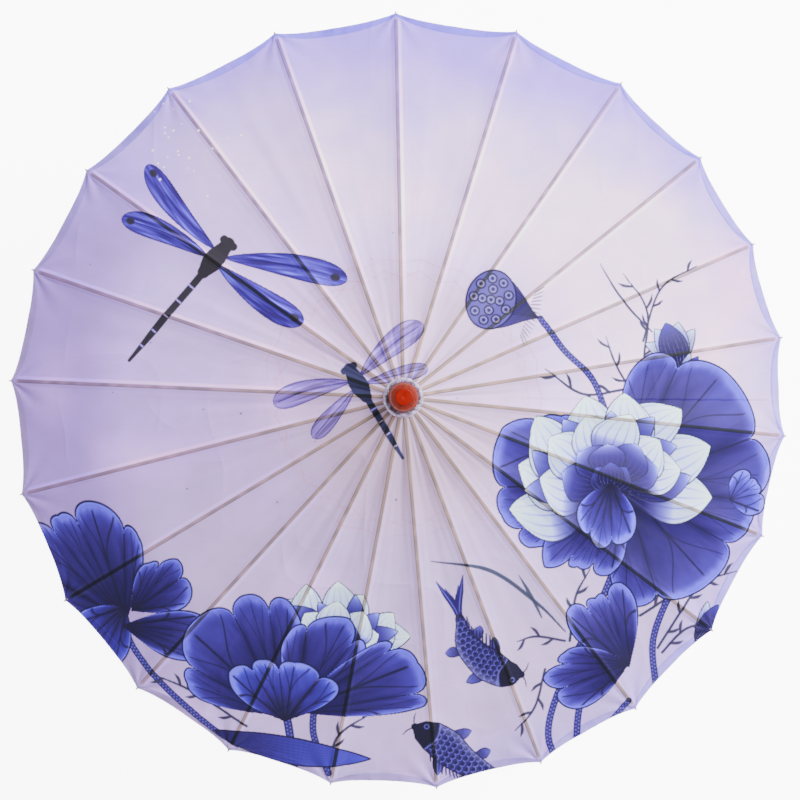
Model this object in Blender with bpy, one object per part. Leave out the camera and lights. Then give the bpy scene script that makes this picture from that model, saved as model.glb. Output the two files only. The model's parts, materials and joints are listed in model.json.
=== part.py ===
"""Cloth umbrella on a split-bamboo frame: 22 ribs hinged on a ring wire in the top notch, 22 stretchers
hinged in the ribs, a runner that slides on the shaft, and a printed cloth cover tied to the ribs.

The frame of reference: origin at the middle of the handle's flat end, +Z up the shaft to the finial.
The umbrella is modelled open. Every hinge turns about a horizontal axis square to its own rib.
"""

import math

import bmesh
import bpy
from mathutils import Vector

# Driving dimensions (metres, radians)
RIBS = 22
TIP_RADIUS = 0.410  # rib tips, from the shaft's axis, open
TOTAL_LENGTH = 0.550  # handle end to finial top
HUB_Z = 0.512  # height of the ring that the ribs turn on
HINGE_RADIUS = 0.016  # radius of that ring, and of the runner's own ring
OPEN_DROP = math.radians(18.0)  # how far the ribs slope down when open
STRETCHER = 0.137  # hinge to hinge, on the rib and on the stretcher alike
CLEARANCE = 0.0003

# The ribs aren't spread quite evenly: (degrees, harmonic, phase in degrees)
FAN_TURN = 11.6
FAN_SWAY = ((3.7, 1, -220.0), (1.2, 2, 87.0), (0.8, 3, 53.0))

# Hubs: top notch and runner head
SLOT_HALF = 0.0013
SLOT_FLOOR = 0.0132
TOOTH_RADIUS = 0.0174
GROOVE_RADIUS = 0.0151
GROOVE_HALF = 0.0007
BORE = 0.0072
NOTCH_NECK = 0.0104
NOTCH_BELOW = 0.007
NOTCH_SLOT_TOP = 0.0032
NOTCH_CAP = 0.006
NOTCH_LENGTH_BELOW = 0.026
RUNNER_HEAD_UP = 0.005
RUNNER_HEAD_DOWN = 0.006
RUNNER_SLEEVE = 0.0100
RUNNER_FLANGE = 0.0135
RUNNER_LENGTH_BELOW = 0.052

# Ribs and stretchers
TONGUE_HALF = 0.0010
TONGUE_END = 0.0018
RIB_HALF = 0.0021
RIB_HALF_THICK = 0.0015
RIB_JOINT_HALF = 0.0025
RIB_SLOT_IN = 0.008
RIB_SLOT_OUT = 0.026
STRETCHER_HALF = 0.0017
STRETCHER_HALF_THICK = 0.0011
STRETCHER_END = 0.0013
EYE_RADIUS = 0.00095
PIN_RADIUS = 0.00065
WIRE_RADIUS = 0.00045

# Shaft and what is on it
SHAFT_RADIUS = 0.0065
SHAFT_BOTTOM = 0.0120
SHAFT_TOP = 0.5380
NOTCH_PIN_Z = HUB_Z - 0.019
NOTCH_PIN_RADIUS = 0.0012
CATCH_HALF = 0.0010
CATCH_PIN_X = 0.0026
CATCH_PIN_Z = 0.306
CATCH_PIN_RADIUS = 0.0005
CATCH_EYE = 0.0008

# Finial and collar
FINIAL_RADIUS = 0.0150
FINIAL_DISC = 0.0086
FINIAL_BASE_Z = HUB_Z + 0.0075
COLLAR_RADIUS = 0.0203

# Cover
CLOTH = 0.0006
CLOTH_GAP = 0.0005
COVER_INNER = 0.0178
COVER_OUTER = 0.4075
SCALLOP = 0.0025
COVER_RINGS = (COVER_INNER, 0.045, 0.110, 0.190, 0.270, 0.345, COVER_OUTER)
THREAD_RADIUS = 0.0004
THREAD_AT = 0.120

# Handle
HANDLE_TOP = 0.118
HANDLE_BORE = 0.0069
CAP_HEIGHT = 0.0065
FERRULE_HEIGHT = 0.006

RIB_LENGTH = (TIP_RADIUS - HINGE_RADIUS) / math.cos(OPEN_DROP)
RUNNER_Z = HUB_Z - 2.0 * STRETCHER * math.sin(OPEN_DROP)
SMOOTH_ANGLE = math.radians(35.0)

COLOURS = {
    "bamboo": ((0.62, 0.42, 0.20), 0.55, 0.0),
    "stretcher_bamboo": ((0.52, 0.33, 0.15), 0.55, 0.0),
    "shaft_bamboo": ((0.55, 0.36, 0.17), 0.45, 0.0),
    "hub_wood": ((0.40, 0.24, 0.11), 0.60, 0.0),
    "red_lacquer": ((0.55, 0.04, 0.01), 0.25, 0.0),
    "collar_paper": ((0.85, 0.82, 0.76), 0.80, 0.0),
    "cloth": ((0.60, 0.54, 0.78), 0.60, 0.0),
    "thread": ((0.75, 0.50, 0.55), 0.80, 0.0),
    "wire": ((0.55, 0.53, 0.50), 0.35, 1.0),
    "brass": ((0.70, 0.52, 0.25), 0.35, 1.0),
    "handle_wood": ((0.30, 0.13, 0.06), 0.35, 0.0),
}


def clear_scene():
    """Starts from an empty file."""
    for obj in list(bpy.data.objects):
        bpy.data.objects.remove(obj, do_unlink=True)


def make_materials():
    """One Principled material for each kind of surface."""
    made = {}
    for name, (colour, roughness, metallic) in COLOURS.items():
        material = bpy.data.materials.new(name)
        material.use_nodes = True
        shader = material.node_tree.nodes["Principled BSDF"]
        shader.inputs["Base Color"].default_value = (*colour, 1.0)
        shader.inputs["Roughness"].default_value = roughness
        shader.inputs["Metallic"].default_value = metallic
        made[name] = material
    return made


def azimuth(index):
    """Where a rib points, in radians counter-clockwise from +X seen from above."""
    even = 360.0 / RIBS * index
    sway = sum(size * math.cos(math.radians(order * even + phase)) for size, order, phase in FAN_SWAY)
    return math.radians(even + FAN_TURN + sway)


AZIMUTHS = [azimuth(i) for i in range(RIBS)]


def outward(angle):
    return Vector((math.cos(angle), math.sin(angle), 0.0))


def sideways(angle):
    return Vector((-math.sin(angle), math.cos(angle), 0.0))


def around(angle, radius, z, side=0.0):
    """A point beside a rib's plane: radius along the rib's azimuth, side square to it."""
    return outward(angle) * radius + sideways(angle) * side + Vector((0.0, 0.0, z))


class Skin:
    """Collects faces whose corners are shared by position, so that rings may meet and collapse."""

    def __init__(self):
        self.mesh = bmesh.new()
        self.corners = {}

    def corner(self, point):
        key = tuple(round(value * 1e7) for value in point)
        if key not in self.corners:
            self.corners[key] = self.mesh.verts.new(point)
        return self.corners[key]

    def face(self, points):
        corners = []
        for point in points:
            corner = self.corner(point)
            if corner not in corners:
                corners.append(corner)
        if len(corners) > 2 and self.mesh.faces.get(corners) is None:
            self.mesh.faces.new(corners)

    def bridge(self, rings, closed=False):
        """Faces between each ring of points and the next, and from the last to the first if closed."""
        pairs = list(zip(rings, rings[1:]))
        if closed:
            pairs.append((rings[-1], rings[0]))
        for low, high in pairs:
            for i in range(len(low)):
                j = (i + 1) % len(low)
                self.face((low[i], low[j], high[j], high[i]))

    def finish(self, name):
        bmesh.ops.recalc_face_normals(self.mesh, faces=self.mesh.faces[:])
        mesh = bpy.data.meshes.new(name)
        self.mesh.to_mesh(mesh)
        self.mesh.free()
        mesh.shade_smooth()
        mesh.set_sharp_from_angle(angle=SMOOTH_ANGLE)
        return mesh


def place(name, mesh, material, location=(0.0, 0.0, 0.0), rotation=(0.0, 0.0, 0.0)):
    if not mesh.materials:
        mesh.materials.append(material)
    obj = bpy.data.objects.new(name, mesh)
    obj.location = location
    obj.rotation_euler = rotation
    bpy.context.scene.collection.objects.link(obj)
    return obj


def circle(radius, z, segments=24):
    return [Vector((radius * math.cos(a), radius * math.sin(a), z))
            for a in (2.0 * math.pi * i / segments for i in range(segments))]


def turned(name, profile, material, closed=False, segments=24):
    """A turned piece from (radius, height) pairs. A profile that starts and ends at radius 0 is solid."""
    skin = Skin()
    skin.bridge([circle(radius, z, segments) for radius, z in profile], closed)
    return place(name, skin.finish(name), material)


def fused(obj, operation, tool_mesh):
    """The object's mesh with a tool mesh cut from it or joined to it."""
    tool = bpy.data.objects.new("tool", tool_mesh)
    bpy.context.scene.collection.objects.link(tool)
    change = obj.modifiers.new("change", "BOOLEAN")
    change.operation = operation
    change.solver = "EXACT"
    change.object = tool
    bpy.context.view_layer.update()
    evaluated = obj.evaluated_get(bpy.context.evaluated_depsgraph_get())
    mesh = bpy.data.meshes.new_from_object(evaluated)
    obj.modifiers.remove(change)
    bpy.data.objects.remove(tool, do_unlink=True)
    obj.data = mesh
    mesh.shade_smooth()
    mesh.set_sharp_from_angle(angle=SMOOTH_ANGLE)
    return mesh


def rod_mesh(start, end, radius, segments=8):
    """A closed rod between two points."""
    start = Vector(start)
    end = Vector(end)
    turn = Vector((0.0, 0.0, 1.0)).rotation_difference(end - start)
    length = (end - start).length
    rings = []
    for ring_radius, z in ((0.0, 0.0), (radius, 0.0), (radius, length), (0.0, length)):
        rings.append([start + turn @ point for point in circle(ring_radius, z, segments)])
    skin = Skin()
    skin.bridge(rings)
    return skin.finish("rod")


def block_mesh(low, high):
    """A closed box between two corners."""
    x0, y0, z0 = low
    x1, y1, z1 = high
    floor = [Vector(p) for p in ((x0, y0, z0), (x1, y0, z0), (x1, y1, z0), (x0, y1, z0))]
    roof = [Vector((p.x, p.y, z1)) for p in floor]
    skin = Skin()
    skin.bridge([floor, roof])
    skin.face(floor)
    skin.face(roof)
    return skin.finish("block")


# Rings of four points at each rib's slot: outer corner, floor corner, floor corner, outer corner
def slot_ring(z, outer, floor):
    points = []
    for angle in AZIMUTHS:
        for side in (-SLOT_HALF, SLOT_HALF):
            pair = (outer, floor) if side < 0.0 else (floor, outer)
            points += [around(angle, radius, z, side) for radius in pair]
    return points


def toothed(z, radius=TOOTH_RADIUS):
    return slot_ring(z, radius, SLOT_FLOOR)


def slotless(z, radius=TOOTH_RADIUS):
    return slot_ring(z, radius, radius)


def floor_ring(z):
    return slot_ring(z, SLOT_FLOOR, SLOT_FLOOR)


def plain_ring(z, radius):
    return [around(angle, radius, z) for angle in AZIMUTHS for _ in range(4)]


def make_top_notch(materials):
    """Wooden hub: slots for the ribs, a turned groove for their ring wire, and a neck with a cross hole."""
    low = HUB_Z - NOTCH_LENGTH_BELOW
    teeth = HUB_Z - NOTCH_BELOW
    skin = Skin()
    skin.bridge([
        plain_ring(low, BORE),
        plain_ring(low, NOTCH_NECK - 0.0008),
        plain_ring(low + 0.0008, NOTCH_NECK),
        plain_ring(teeth - 0.001, NOTCH_NECK),
        floor_ring(teeth),
        toothed(teeth),
        toothed(HUB_Z - GROOVE_HALF),
        toothed(HUB_Z - GROOVE_HALF, GROOVE_RADIUS),
        toothed(HUB_Z + GROOVE_HALF, GROOVE_RADIUS),
        toothed(HUB_Z + GROOVE_HALF),
        toothed(HUB_Z + NOTCH_SLOT_TOP),
        slotless(HUB_Z + NOTCH_SLOT_TOP),
        slotless(HUB_Z + NOTCH_CAP - 0.0008),
        slotless(HUB_Z + NOTCH_CAP, TOOTH_RADIUS - 0.0012),
        plain_ring(HUB_Z + NOTCH_CAP, BORE),
    ], closed=True)
    notch = place("top_notch", skin.finish("top_notch"), materials["hub_wood"])
    reach = NOTCH_NECK + 0.002
    hole = rod_mesh((-reach, 0.0, NOTCH_PIN_Z), (reach, 0.0, NOTCH_PIN_Z), NOTCH_PIN_RADIUS + CLEARANCE, 10)
    fused(notch, "DIFFERENCE", hole)
    half = NOTCH_NECK - 0.0003
    pin = rod_mesh((-half, 0.0, NOTCH_PIN_Z), (half, 0.0, NOTCH_PIN_Z), NOTCH_PIN_RADIUS, 10)
    place("notch_pin", pin, materials["bamboo"])


def make_runner(materials):
    """Wooden runner: slots for the stretchers, a long slim sleeve, and a flange to push on at its foot."""
    low = RUNNER_Z - RUNNER_LENGTH_BELOW
    bottom = RUNNER_Z - RUNNER_HEAD_DOWN
    top = RUNNER_Z + RUNNER_HEAD_UP
    skin = Skin()
    skin.bridge([
        plain_ring(low, BORE),
        plain_ring(low, RUNNER_FLANGE - 0.001),
        plain_ring(low + 0.001, RUNNER_FLANGE),
        plain_ring(low + 0.005, RUNNER_FLANGE),
        plain_ring(low + 0.0075, RUNNER_SLEEVE),
        plain_ring(bottom - 0.0015, RUNNER_SLEEVE),
        floor_ring(bottom),
        toothed(bottom),
        toothed(RUNNER_Z - GROOVE_HALF),
        toothed(RUNNER_Z - GROOVE_HALF, GROOVE_RADIUS),
        toothed(RUNNER_Z + GROOVE_HALF, GROOVE_RADIUS),
        toothed(RUNNER_Z + GROOVE_HALF),
        toothed(top),
        floor_ring(top),
        plain_ring(top + 0.001, BORE + 0.0015),
        plain_ring(top + 0.001, BORE),
    ], closed=True)
    mesh = skin.finish("runner")
    for vertex in mesh.vertices:
        vertex.co.z -= RUNNER_Z
    place("runner", mesh, materials["hub_wood"], (0.0, 0.0, RUNNER_Z))


def ring_cord(name, radius, z, thickness, material):
    """A thin closed ring whose corners lie at the ribs, straight from rib to rib."""
    rings = []
    for angle in AZIMUTHS:
        ring = []
        for step in range(6):
            turn = 2.0 * math.pi * step / 6
            ring.append(around(angle, radius + thickness * math.cos(turn), z + thickness * math.sin(turn)))
        rings.append(ring)
    skin = Skin()
    skin.bridge(rings, closed=True)
    place(name, skin.finish(name), material)


def bar_mesh(name, stations, half_thick, slot=None):
    """A flat bar along +X from (x, half width) stations, with a slot through it if (start, end) is given.
    The thickness is half_thick each way, and the last two stations may thin it: (x, half width, half)."""
    skin = Skin()
    full = [s for s in stations if len(s) == 2]
    thin = [full[-1] + (half_thick,)] + [s for s in stations if len(s) == 3]
    for side in (1.0, -1.0):
        outline = [(x, side * half) for x, half in full]
        back = [(full[-1][0], 0.0)]
        if slot:
            back += [(slot[1], 0.0), (slot[1], side * SLOT_HALF), (slot[0], side * SLOT_HALF), (slot[0], 0.0)]
        back.append((full[0][0], 0.0))
        for level in (half_thick, -half_thick):
            skin.face([Vector((x, y, level)) for x, y in outline + back])
        edges = list(zip(outline, outline[1:])) + [(back[-1], outline[0])]
        if slot:
            edges += list(zip(back[1:4], back[2:5]))
        for (x0, y0), (x1, y1) in edges:
            skin.face([Vector((x0, y0, half_thick)), Vector((x1, y1, half_thick)),
                       Vector((x1, y1, -half_thick)), Vector((x0, y0, -half_thick))])
        for (x0, w0, t0), (x1, w1, t1) in zip(thin, thin[1:]):
            for up in (1.0, -1.0):
                skin.face([Vector((x0, 0.0, up * t0)), Vector((x1, 0.0, up * t1)),
                           Vector((x1, side * w1, up * t1)), Vector((x0, side * w0, up * t0))])
            skin.face([Vector((x0, side * w0, t0)), Vector((x1, side * w1, t1)),
                       Vector((x1, side * w1, -t1)), Vector((x0, side * w0, -t0))])
        x, w, t = thin[-1]
        skin.face([Vector((x, 0.0, t)), Vector((x, side * w, t)),
                   Vector((x, side * w, -t)), Vector((x, 0.0, -t))])
    return skin.finish(name)


def make_ribs(materials):
    """22 split-bamboo ribs, all of one pattern, each with its origin on the ring wire."""
    stations = (
        (-TONGUE_END, TONGUE_HALF),
        (0.008, TONGUE_HALF),
        (0.050, RIB_HALF),
        (STRETCHER - 0.014, RIB_HALF),
        (STRETCHER - 0.010, RIB_JOINT_HALF),
        (STRETCHER + RIB_SLOT_OUT + 0.006, RIB_JOINT_HALF),
        (STRETCHER + RIB_SLOT_OUT + 0.012, RIB_HALF),
        (RIB_LENGTH - 0.040, 0.0019),
        (RIB_LENGTH - 0.006, 0.0015, 0.0013),
        (RIB_LENGTH, 0.0006, 0.0008),
    )
    slot = (STRETCHER - RIB_SLOT_IN, STRETCHER + RIB_SLOT_OUT)
    pattern = place("rib_01", bar_mesh("rib", stations, RIB_HALF_THICK, slot), materials["bamboo"])
    for x in (0.0, STRETCHER):
        fused(pattern, "DIFFERENCE", rod_mesh((x, -0.004, 0.0), (x, 0.004, 0.0), EYE_RADIUS))
    mesh = pattern.data
    bpy.data.objects.remove(pattern, do_unlink=True)
    for i, angle in enumerate(AZIMUTHS):
        place(f"rib_{i + 1:02d}", mesh, materials["bamboo"], around(angle, HINGE_RADIUS, HUB_Z),
              (0.0, OPEN_DROP, angle))


def make_stretchers(materials):
    """22 stretchers, each with its origin and its own pin at the hinge in its rib."""
    stations = (
        (-STRETCHER_END, TONGUE_HALF),
        (RIB_SLOT_OUT - 0.002, TONGUE_HALF),
        (RIB_SLOT_OUT + 0.006, STRETCHER_HALF),
        (STRETCHER - 0.017, STRETCHER_HALF),
        (STRETCHER - 0.009, TONGUE_HALF),
        (STRETCHER + STRETCHER_END, TONGUE_HALF),
    )
    bar = bar_mesh("stretcher", stations, STRETCHER_HALF_THICK)
    pattern = place("stretcher_01", bar, materials["stretcher_bamboo"])
    reach = RIB_JOINT_HALF - CLEARANCE
    mesh = fused(pattern, "UNION", rod_mesh((0.0, -reach, 0.0), (0.0, reach, 0.0), PIN_RADIUS))
    bpy.data.objects.remove(pattern, do_unlink=True)
    radius = HINGE_RADIUS + STRETCHER * math.cos(OPEN_DROP)
    z = HUB_Z - STRETCHER * math.sin(OPEN_DROP)
    for i, angle in enumerate(AZIMUTHS):
        place(f"stretcher_{i + 1:02d}", mesh, materials["stretcher_bamboo"], around(angle, radius, z),
              (0.0, math.pi - OPEN_DROP, angle))


def cover_height(radius, lift):
    """The height over a rib at this radius: the rib's upper face, and so much above it."""
    top = RIB_HALF_THICK / math.cos(OPEN_DROP)
    return HUB_Z - (radius - HINGE_RADIUS) * math.tan(OPEN_DROP) + top + lift


def cover_ring(radius, lift):
    """Points over each rib and midway to the next, where the cloth runs straight from rib to rib."""
    points = []
    for i, angle in enumerate(AZIMUTHS):
        step = (AZIMUTHS[(i + 1) % RIBS] - angle) % (2.0 * math.pi)
        z = cover_height(radius, lift)
        points.append(around(angle, radius, z))
        middle = radius * math.cos(step / 2.0)
        drop = 0.0
        if radius == COVER_OUTER:
            middle -= SCALLOP
            drop = SCALLOP / math.cos(step / 2.0) * math.tan(OPEN_DROP)
        points.append(around(angle + step / 2.0, middle, z + drop))
    return points


def make_canopy(materials):
    """The cover: a thin closed sheet of 22 gores with a round hole for the notch and a scalloped hem."""
    under = [cover_ring(radius, CLOTH_GAP) for radius in COVER_RINGS]
    over = [cover_ring(radius, CLOTH_GAP + CLOTH) for radius in reversed(COVER_RINGS)]
    skin = Skin()
    skin.bridge(under + over, closed=True)
    place("canopy", skin.finish("canopy"), materials["cloth"])


def make_shaft(materials):
    """Bamboo shaft with a cross hole for the notch pin, and a slot and a hole for the catch."""
    shaft = turned("shaft", (
        (0.0, SHAFT_BOTTOM),
        (SHAFT_RADIUS, SHAFT_BOTTOM),
        (SHAFT_RADIUS, SHAFT_TOP),
        (0.0, SHAFT_TOP),
    ), materials["shaft_bamboo"])
    reach = SHAFT_RADIUS + 0.002
    fused(shaft, "DIFFERENCE",
          rod_mesh((-reach, 0.0, NOTCH_PIN_Z), (reach, 0.0, NOTCH_PIN_Z), NOTCH_PIN_RADIUS + CLEARANCE, 10))
    nose = RUNNER_Z - RUNNER_LENGTH_BELOW
    fused(shaft, "DIFFERENCE",
          block_mesh((0.0002, -SLOT_HALF, CATCH_PIN_Z - 0.006), (0.010, SLOT_HALF, nose + 0.006)))
    fused(shaft, "DIFFERENCE",
          rod_mesh((CATCH_PIN_X, -reach, CATCH_PIN_Z), (CATCH_PIN_X, reach, CATCH_PIN_Z), CATCH_EYE))


def make_catch(materials):
    """Spring catch: a bamboo strip pinned in the shaft, whose nose stands out under the open runner."""
    nose = RUNNER_Z - RUNNER_LENGTH_BELOW - 0.0006
    foot = CATCH_PIN_Z - 0.004
    outline = ((0.0006, foot), (0.0046, foot), (0.0048, CATCH_PIN_Z + 0.010), (0.0100, nose - 0.0008),
               (0.0100, nose), (0.0040, nose), (0.0018, nose - 0.030), (0.0008, CATCH_PIN_Z + 0.010))
    sides = [[Vector((x, y, z)) for x, z in outline] for y in (-CATCH_HALF, CATCH_HALF)]
    skin = Skin()
    skin.bridge(sides)
    for side in sides:
        skin.face(side)
    catch = place("catch_spring", skin.finish("catch_spring"), materials["bamboo"])
    fused(catch, "DIFFERENCE",
          rod_mesh((CATCH_PIN_X, -0.004, CATCH_PIN_Z), (CATCH_PIN_X, 0.004, CATCH_PIN_Z), CATCH_EYE))
    half = math.sqrt(SHAFT_RADIUS ** 2 - CATCH_PIN_X ** 2) - 0.0004
    pin = rod_mesh((CATCH_PIN_X, -half, CATCH_PIN_Z), (CATCH_PIN_X, half, CATCH_PIN_Z), CATCH_PIN_RADIUS)
    place("catch_pin", pin, materials["wire"])


def make_finial(materials):
    """Red lacquered knob: a raised flat disc, a broad bevel, an undercut foot and a socket for the shaft."""
    base = FINIAL_BASE_Z
    top = TOTAL_LENGTH
    socket = HANDLE_BORE
    turned("finial", (
        (0.0, SHAFT_TOP + CLEARANCE),
        (socket, SHAFT_TOP + CLEARANCE),
        (socket, base),
        (0.0112, base),
        (0.0116, base + 0.006),
        (0.0140, base + 0.0105),
        (FINIAL_RADIUS, base + 0.015),
        (FINIAL_RADIUS, base + 0.0215),
        (FINIAL_RADIUS - 0.0008, base + 0.0240),
        (FINIAL_RADIUS - 0.0025, base + 0.0262),
        (FINIAL_DISC + 0.0004, top - 0.0016),
        (FINIAL_DISC, top - 0.0004),
        (FINIAL_DISC - 0.0004, top),
        (0.0, top),
    ), materials["red_lacquer"], segments=32)


def make_collar(materials):
    """Paper collar that covers the notch: a shallow hat with a hole for the shaft."""
    profile = ((COLLAR_RADIUS, 0.0019), (0.0190, 0.0056), (0.0172, 0.0071), (0.0074, 0.0071),
               (0.0074, 0.0064), (0.0168, 0.0064), (0.0182, 0.0053), (COLLAR_RADIUS - 0.0008, 0.0019))
    turned("finial_collar", [(radius, HUB_Z + z) for radius, z in profile], materials["collar_paper"],
           closed=True, segments=32)


def make_handle(materials):
    """Turned handle, its flat end cap and the brass ferrule above it."""
    turned("handle_end_cap", (
        (0.0, 0.0),
        (0.0092, 0.0),
        (0.0100, 0.0010),
        (0.0100, CAP_HEIGHT - 0.0006),
        (0.0094, CAP_HEIGHT),
        (0.0, CAP_HEIGHT),
    ), materials["hub_wood"])
    turned("handle", (
        (0.0, CAP_HEIGHT + CLEARANCE),
        (0.0096, CAP_HEIGHT + CLEARANCE),
        (0.0108, 0.0090),
        (0.0108, 0.0130),
        (0.0096, 0.0150),
        (0.0104, 0.0260),
        (0.0112, 0.0450),
        (0.0110, 0.0700),
        (0.0098, 0.0950),
        (0.0094, 0.1080),
        (0.0104, 0.1100),
        (0.0104, 0.1140),
        (0.0092, HANDLE_TOP),
        (HANDLE_BORE, HANDLE_TOP),
        (HANDLE_BORE, SHAFT_BOTTOM - CLEARANCE),
        (0.0, SHAFT_BOTTOM - CLEARANCE),
    ), materials["handle_wood"])
    low = HANDLE_TOP + CLEARANCE
    turned("handle_ferrule", (
        (HANDLE_BORE, low),
        (0.0090, low),
        (0.0090, low + FERRULE_HEIGHT - 0.001),
        (0.0084, low + FERRULE_HEIGHT),
        (HANDLE_BORE, low + FERRULE_HEIGHT),
    ), materials["brass"], closed=True)


def main():
    clear_scene()
    materials = make_materials()
    make_shaft(materials)
    make_top_notch(materials)
    ring_cord("notch_wire", HINGE_RADIUS, HUB_Z, WIRE_RADIUS, materials["wire"])
    make_runner(materials)
    make_ribs(materials)
    make_stretchers(materials)
    make_canopy(materials)
    under_rib = cover_height(THREAD_AT, 0.0) - 2.0 * RIB_HALF_THICK / math.cos(OPEN_DROP)
    ring_cord("thread_ring", THREAD_AT, under_rib - THREAD_RADIUS - 2.0 * CLEARANCE, THREAD_RADIUS,
              materials["thread"])
    make_catch(materials)
    make_collar(materials)
    make_finial(materials)
    make_handle(materials)


main()
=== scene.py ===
"""Looks of the printed cloth umbrella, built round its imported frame.

The cover is one curved sheet cut along the middle of each gore into 22 strips, because each strip has to
fold with its own rib. Its print is painted by numpy into a colour attribute of the cover's fine mesh.
All lengths are in metres unless a name says millimetres.
"""
import json
import math

import bmesh
import bpy
import numpy as np
from mathutils import Matrix, Vector


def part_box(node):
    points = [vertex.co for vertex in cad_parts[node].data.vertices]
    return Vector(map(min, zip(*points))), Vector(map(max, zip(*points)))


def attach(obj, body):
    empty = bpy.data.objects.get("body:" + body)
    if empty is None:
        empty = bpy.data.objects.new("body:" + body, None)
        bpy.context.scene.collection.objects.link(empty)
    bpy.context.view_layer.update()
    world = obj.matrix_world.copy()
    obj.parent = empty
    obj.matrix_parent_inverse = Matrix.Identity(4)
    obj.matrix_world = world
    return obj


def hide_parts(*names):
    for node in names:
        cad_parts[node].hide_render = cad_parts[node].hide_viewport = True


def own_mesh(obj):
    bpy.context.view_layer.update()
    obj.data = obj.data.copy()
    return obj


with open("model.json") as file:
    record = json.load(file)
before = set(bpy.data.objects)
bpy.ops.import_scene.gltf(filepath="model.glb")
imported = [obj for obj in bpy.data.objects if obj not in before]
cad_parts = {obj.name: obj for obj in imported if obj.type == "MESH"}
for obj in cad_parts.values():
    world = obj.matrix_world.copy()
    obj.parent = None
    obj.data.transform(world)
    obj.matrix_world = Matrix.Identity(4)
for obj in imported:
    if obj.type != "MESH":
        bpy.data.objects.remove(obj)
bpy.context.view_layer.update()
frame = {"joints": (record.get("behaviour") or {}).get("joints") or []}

# ---------------------------------------------------------------- measures taken from the frame
JOINTS = {joint["name"]: joint for joint in frame["joints"]}
RIB_JOINTS = sorted(name for name in JOINTS if name.startswith("rib_hinge_"))
RIBS = len(RIB_JOINTS)
HINGES = [Vector(JOINTS[name]["pos_m"]) for name in RIB_JOINTS]
HINGE_RADIUS = math.hypot(HINGES[0].x, HINGES[0].y)
HUB_Z = HINGES[0].z
FINIAL_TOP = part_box("finial")[1].z
AZIMUTHS = np.array([math.atan2(p.y, p.x) % (2 * math.pi) for p in HINGES])
ELBOW = Vector(JOINTS["stretcher_hinge_01"]["pos_m"])
ELBOW_RADIUS = math.hypot(ELBOW.x, ELBOW.y)
DROP = (HUB_Z - ELBOW.z) / (ELBOW_RADIUS - HINGE_RADIUS)  # how far the ribs go down for each metre outwards
TIP_RADIUS = 0.410
RIM_Z = HUB_Z - (TIP_RADIUS - HINGE_RADIUS) * DROP

# ---------------------------------------------------------------- measures of the cover
COVER_INNER = 0.0180
COVER_OUTER = 0.4078
RIB_TOP = 0.0015 * math.sqrt(1 + DROP * DROP)  # half a rib's thickness, measured upwards
LIFT = RIB_TOP + 0.0005  # of the cloth above the middle of a rib
SCALLOP = 0.0046  # how far the hem draws in beyond a straight line from tip to tip
CUSP = 3.2  # how sharply it draws in beside a tip
SAG = 0.0044  # how far the cloth lies below a straight line from rib to rib
HEM = 0.0088  # width of the turned-in hem midway between tips
HEM_AT_TIP = 0.0030
RIDGE = 0.0010  # how far the cloth stands up over a rib
RIDGE_HALF = 0.0015  # half the width of its flat top
RIDGE_FOOT = 0.0058
CELL = 0.00085  # spacing of the cover's mesh
WEB_THREAD = 0.00034  # radius of the threads of the web behind the cloth
LASHING_THREAD = 0.00042  # radius of the threads that lash the cloth to the ribs' tips
KNOB_DISC = 0.0090  # radius of the knob's raised flat top
COLLAR_BEND = 0.0178  # radius between the collar's rim and its torn inner edge
SEED = 11

# ---------------------------------------------------------------- light and view
LIGHT_AZIMUTH = math.radians(32.0)
LIGHT_TILT = math.radians(42.0)  # of the main light, from straight above
TONE_SCALE = 0.213  # the view shows a brightness b as a colour c with b = scale * (c / (1 - c)) ** power
TONE_POWER = 1.24
STUDIO_LIGHT = 3.3  # how brightly the lights show a white surface that faces up
WORLD_LIGHT = 0.6
KEY_POWER = 300.0
FILL_POWER = 12.0
FLOOR_GLOW = 8.0
GLOW_UNDER = 1.2
GLOW_FROM = 0.30  # the floor glows brighter from this distance outwards than under the umbrella
GLOW_FULL = 0.46
GLOW_FADES_FROM = 1.5  # and it is weaker far away, so that it hardly shows in the knob's lacquer
GLOW_FADES_TO = 4.0
GLOW_FAR_SHARE = 0.25
VIEW_DISTANCE = 2.2
VIEW_TILT = math.radians(1.7)  # the camera stands a little to the lower left
VIEW_AZIMUTH = math.radians(216.9)
FOCAL_LENGTH = 94.1  # millimetres, on a 36 mm sensor


def smoothstep(low, high, value):
    t = np.clip((value - low) / (high - low), 0.0, 1.0)
    return t * t * (3.0 - 2.0 * t)


def lattice_noise(x, y, seed):
    """Smooth value noise from -1 to 1 on a unit lattice."""
    table = np.random.default_rng(seed).uniform(-1.0, 1.0, (64, 64))
    xi, yi = np.floor(x).astype(int), np.floor(y).astype(int)
    fx, fy = x - xi, y - yi
    fx = fx * fx * (3 - 2 * fx)
    fy = fy * fy * (3 - 2 * fy)
    a = table[xi % 64, yi % 64]
    b = table[(xi + 1) % 64, yi % 64]
    c = table[xi % 64, (yi + 1) % 64]
    d = table[(xi + 1) % 64, (yi + 1) % 64]
    return (a * (1 - fx) + b * fx) * (1 - fy) + (c * (1 - fx) + d * fx) * fy


def cloudy(x, y, size, seed, octaves=3):
    """Soft noise of several sizes, from about -1 to 1; size is the largest one's, in the units of x."""
    total = np.zeros_like(x, dtype=float)
    for k in range(octaves):
        total += lattice_noise(x / size * 2 ** k, y / size * 2 ** k, seed + k) * 0.6 ** k
    return total / 1.6


# ---------------------------------------------------------------- the cover's surface
def gap_after(rib):
    """The angle from a rib to the next one counter-clockwise."""
    return (AZIMUTHS[(rib + 1) % RIBS] - AZIMUTHS[rib]) % (2 * math.pi)


GAPS = np.array([gap_after(i) for i in range(RIBS)])


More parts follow.
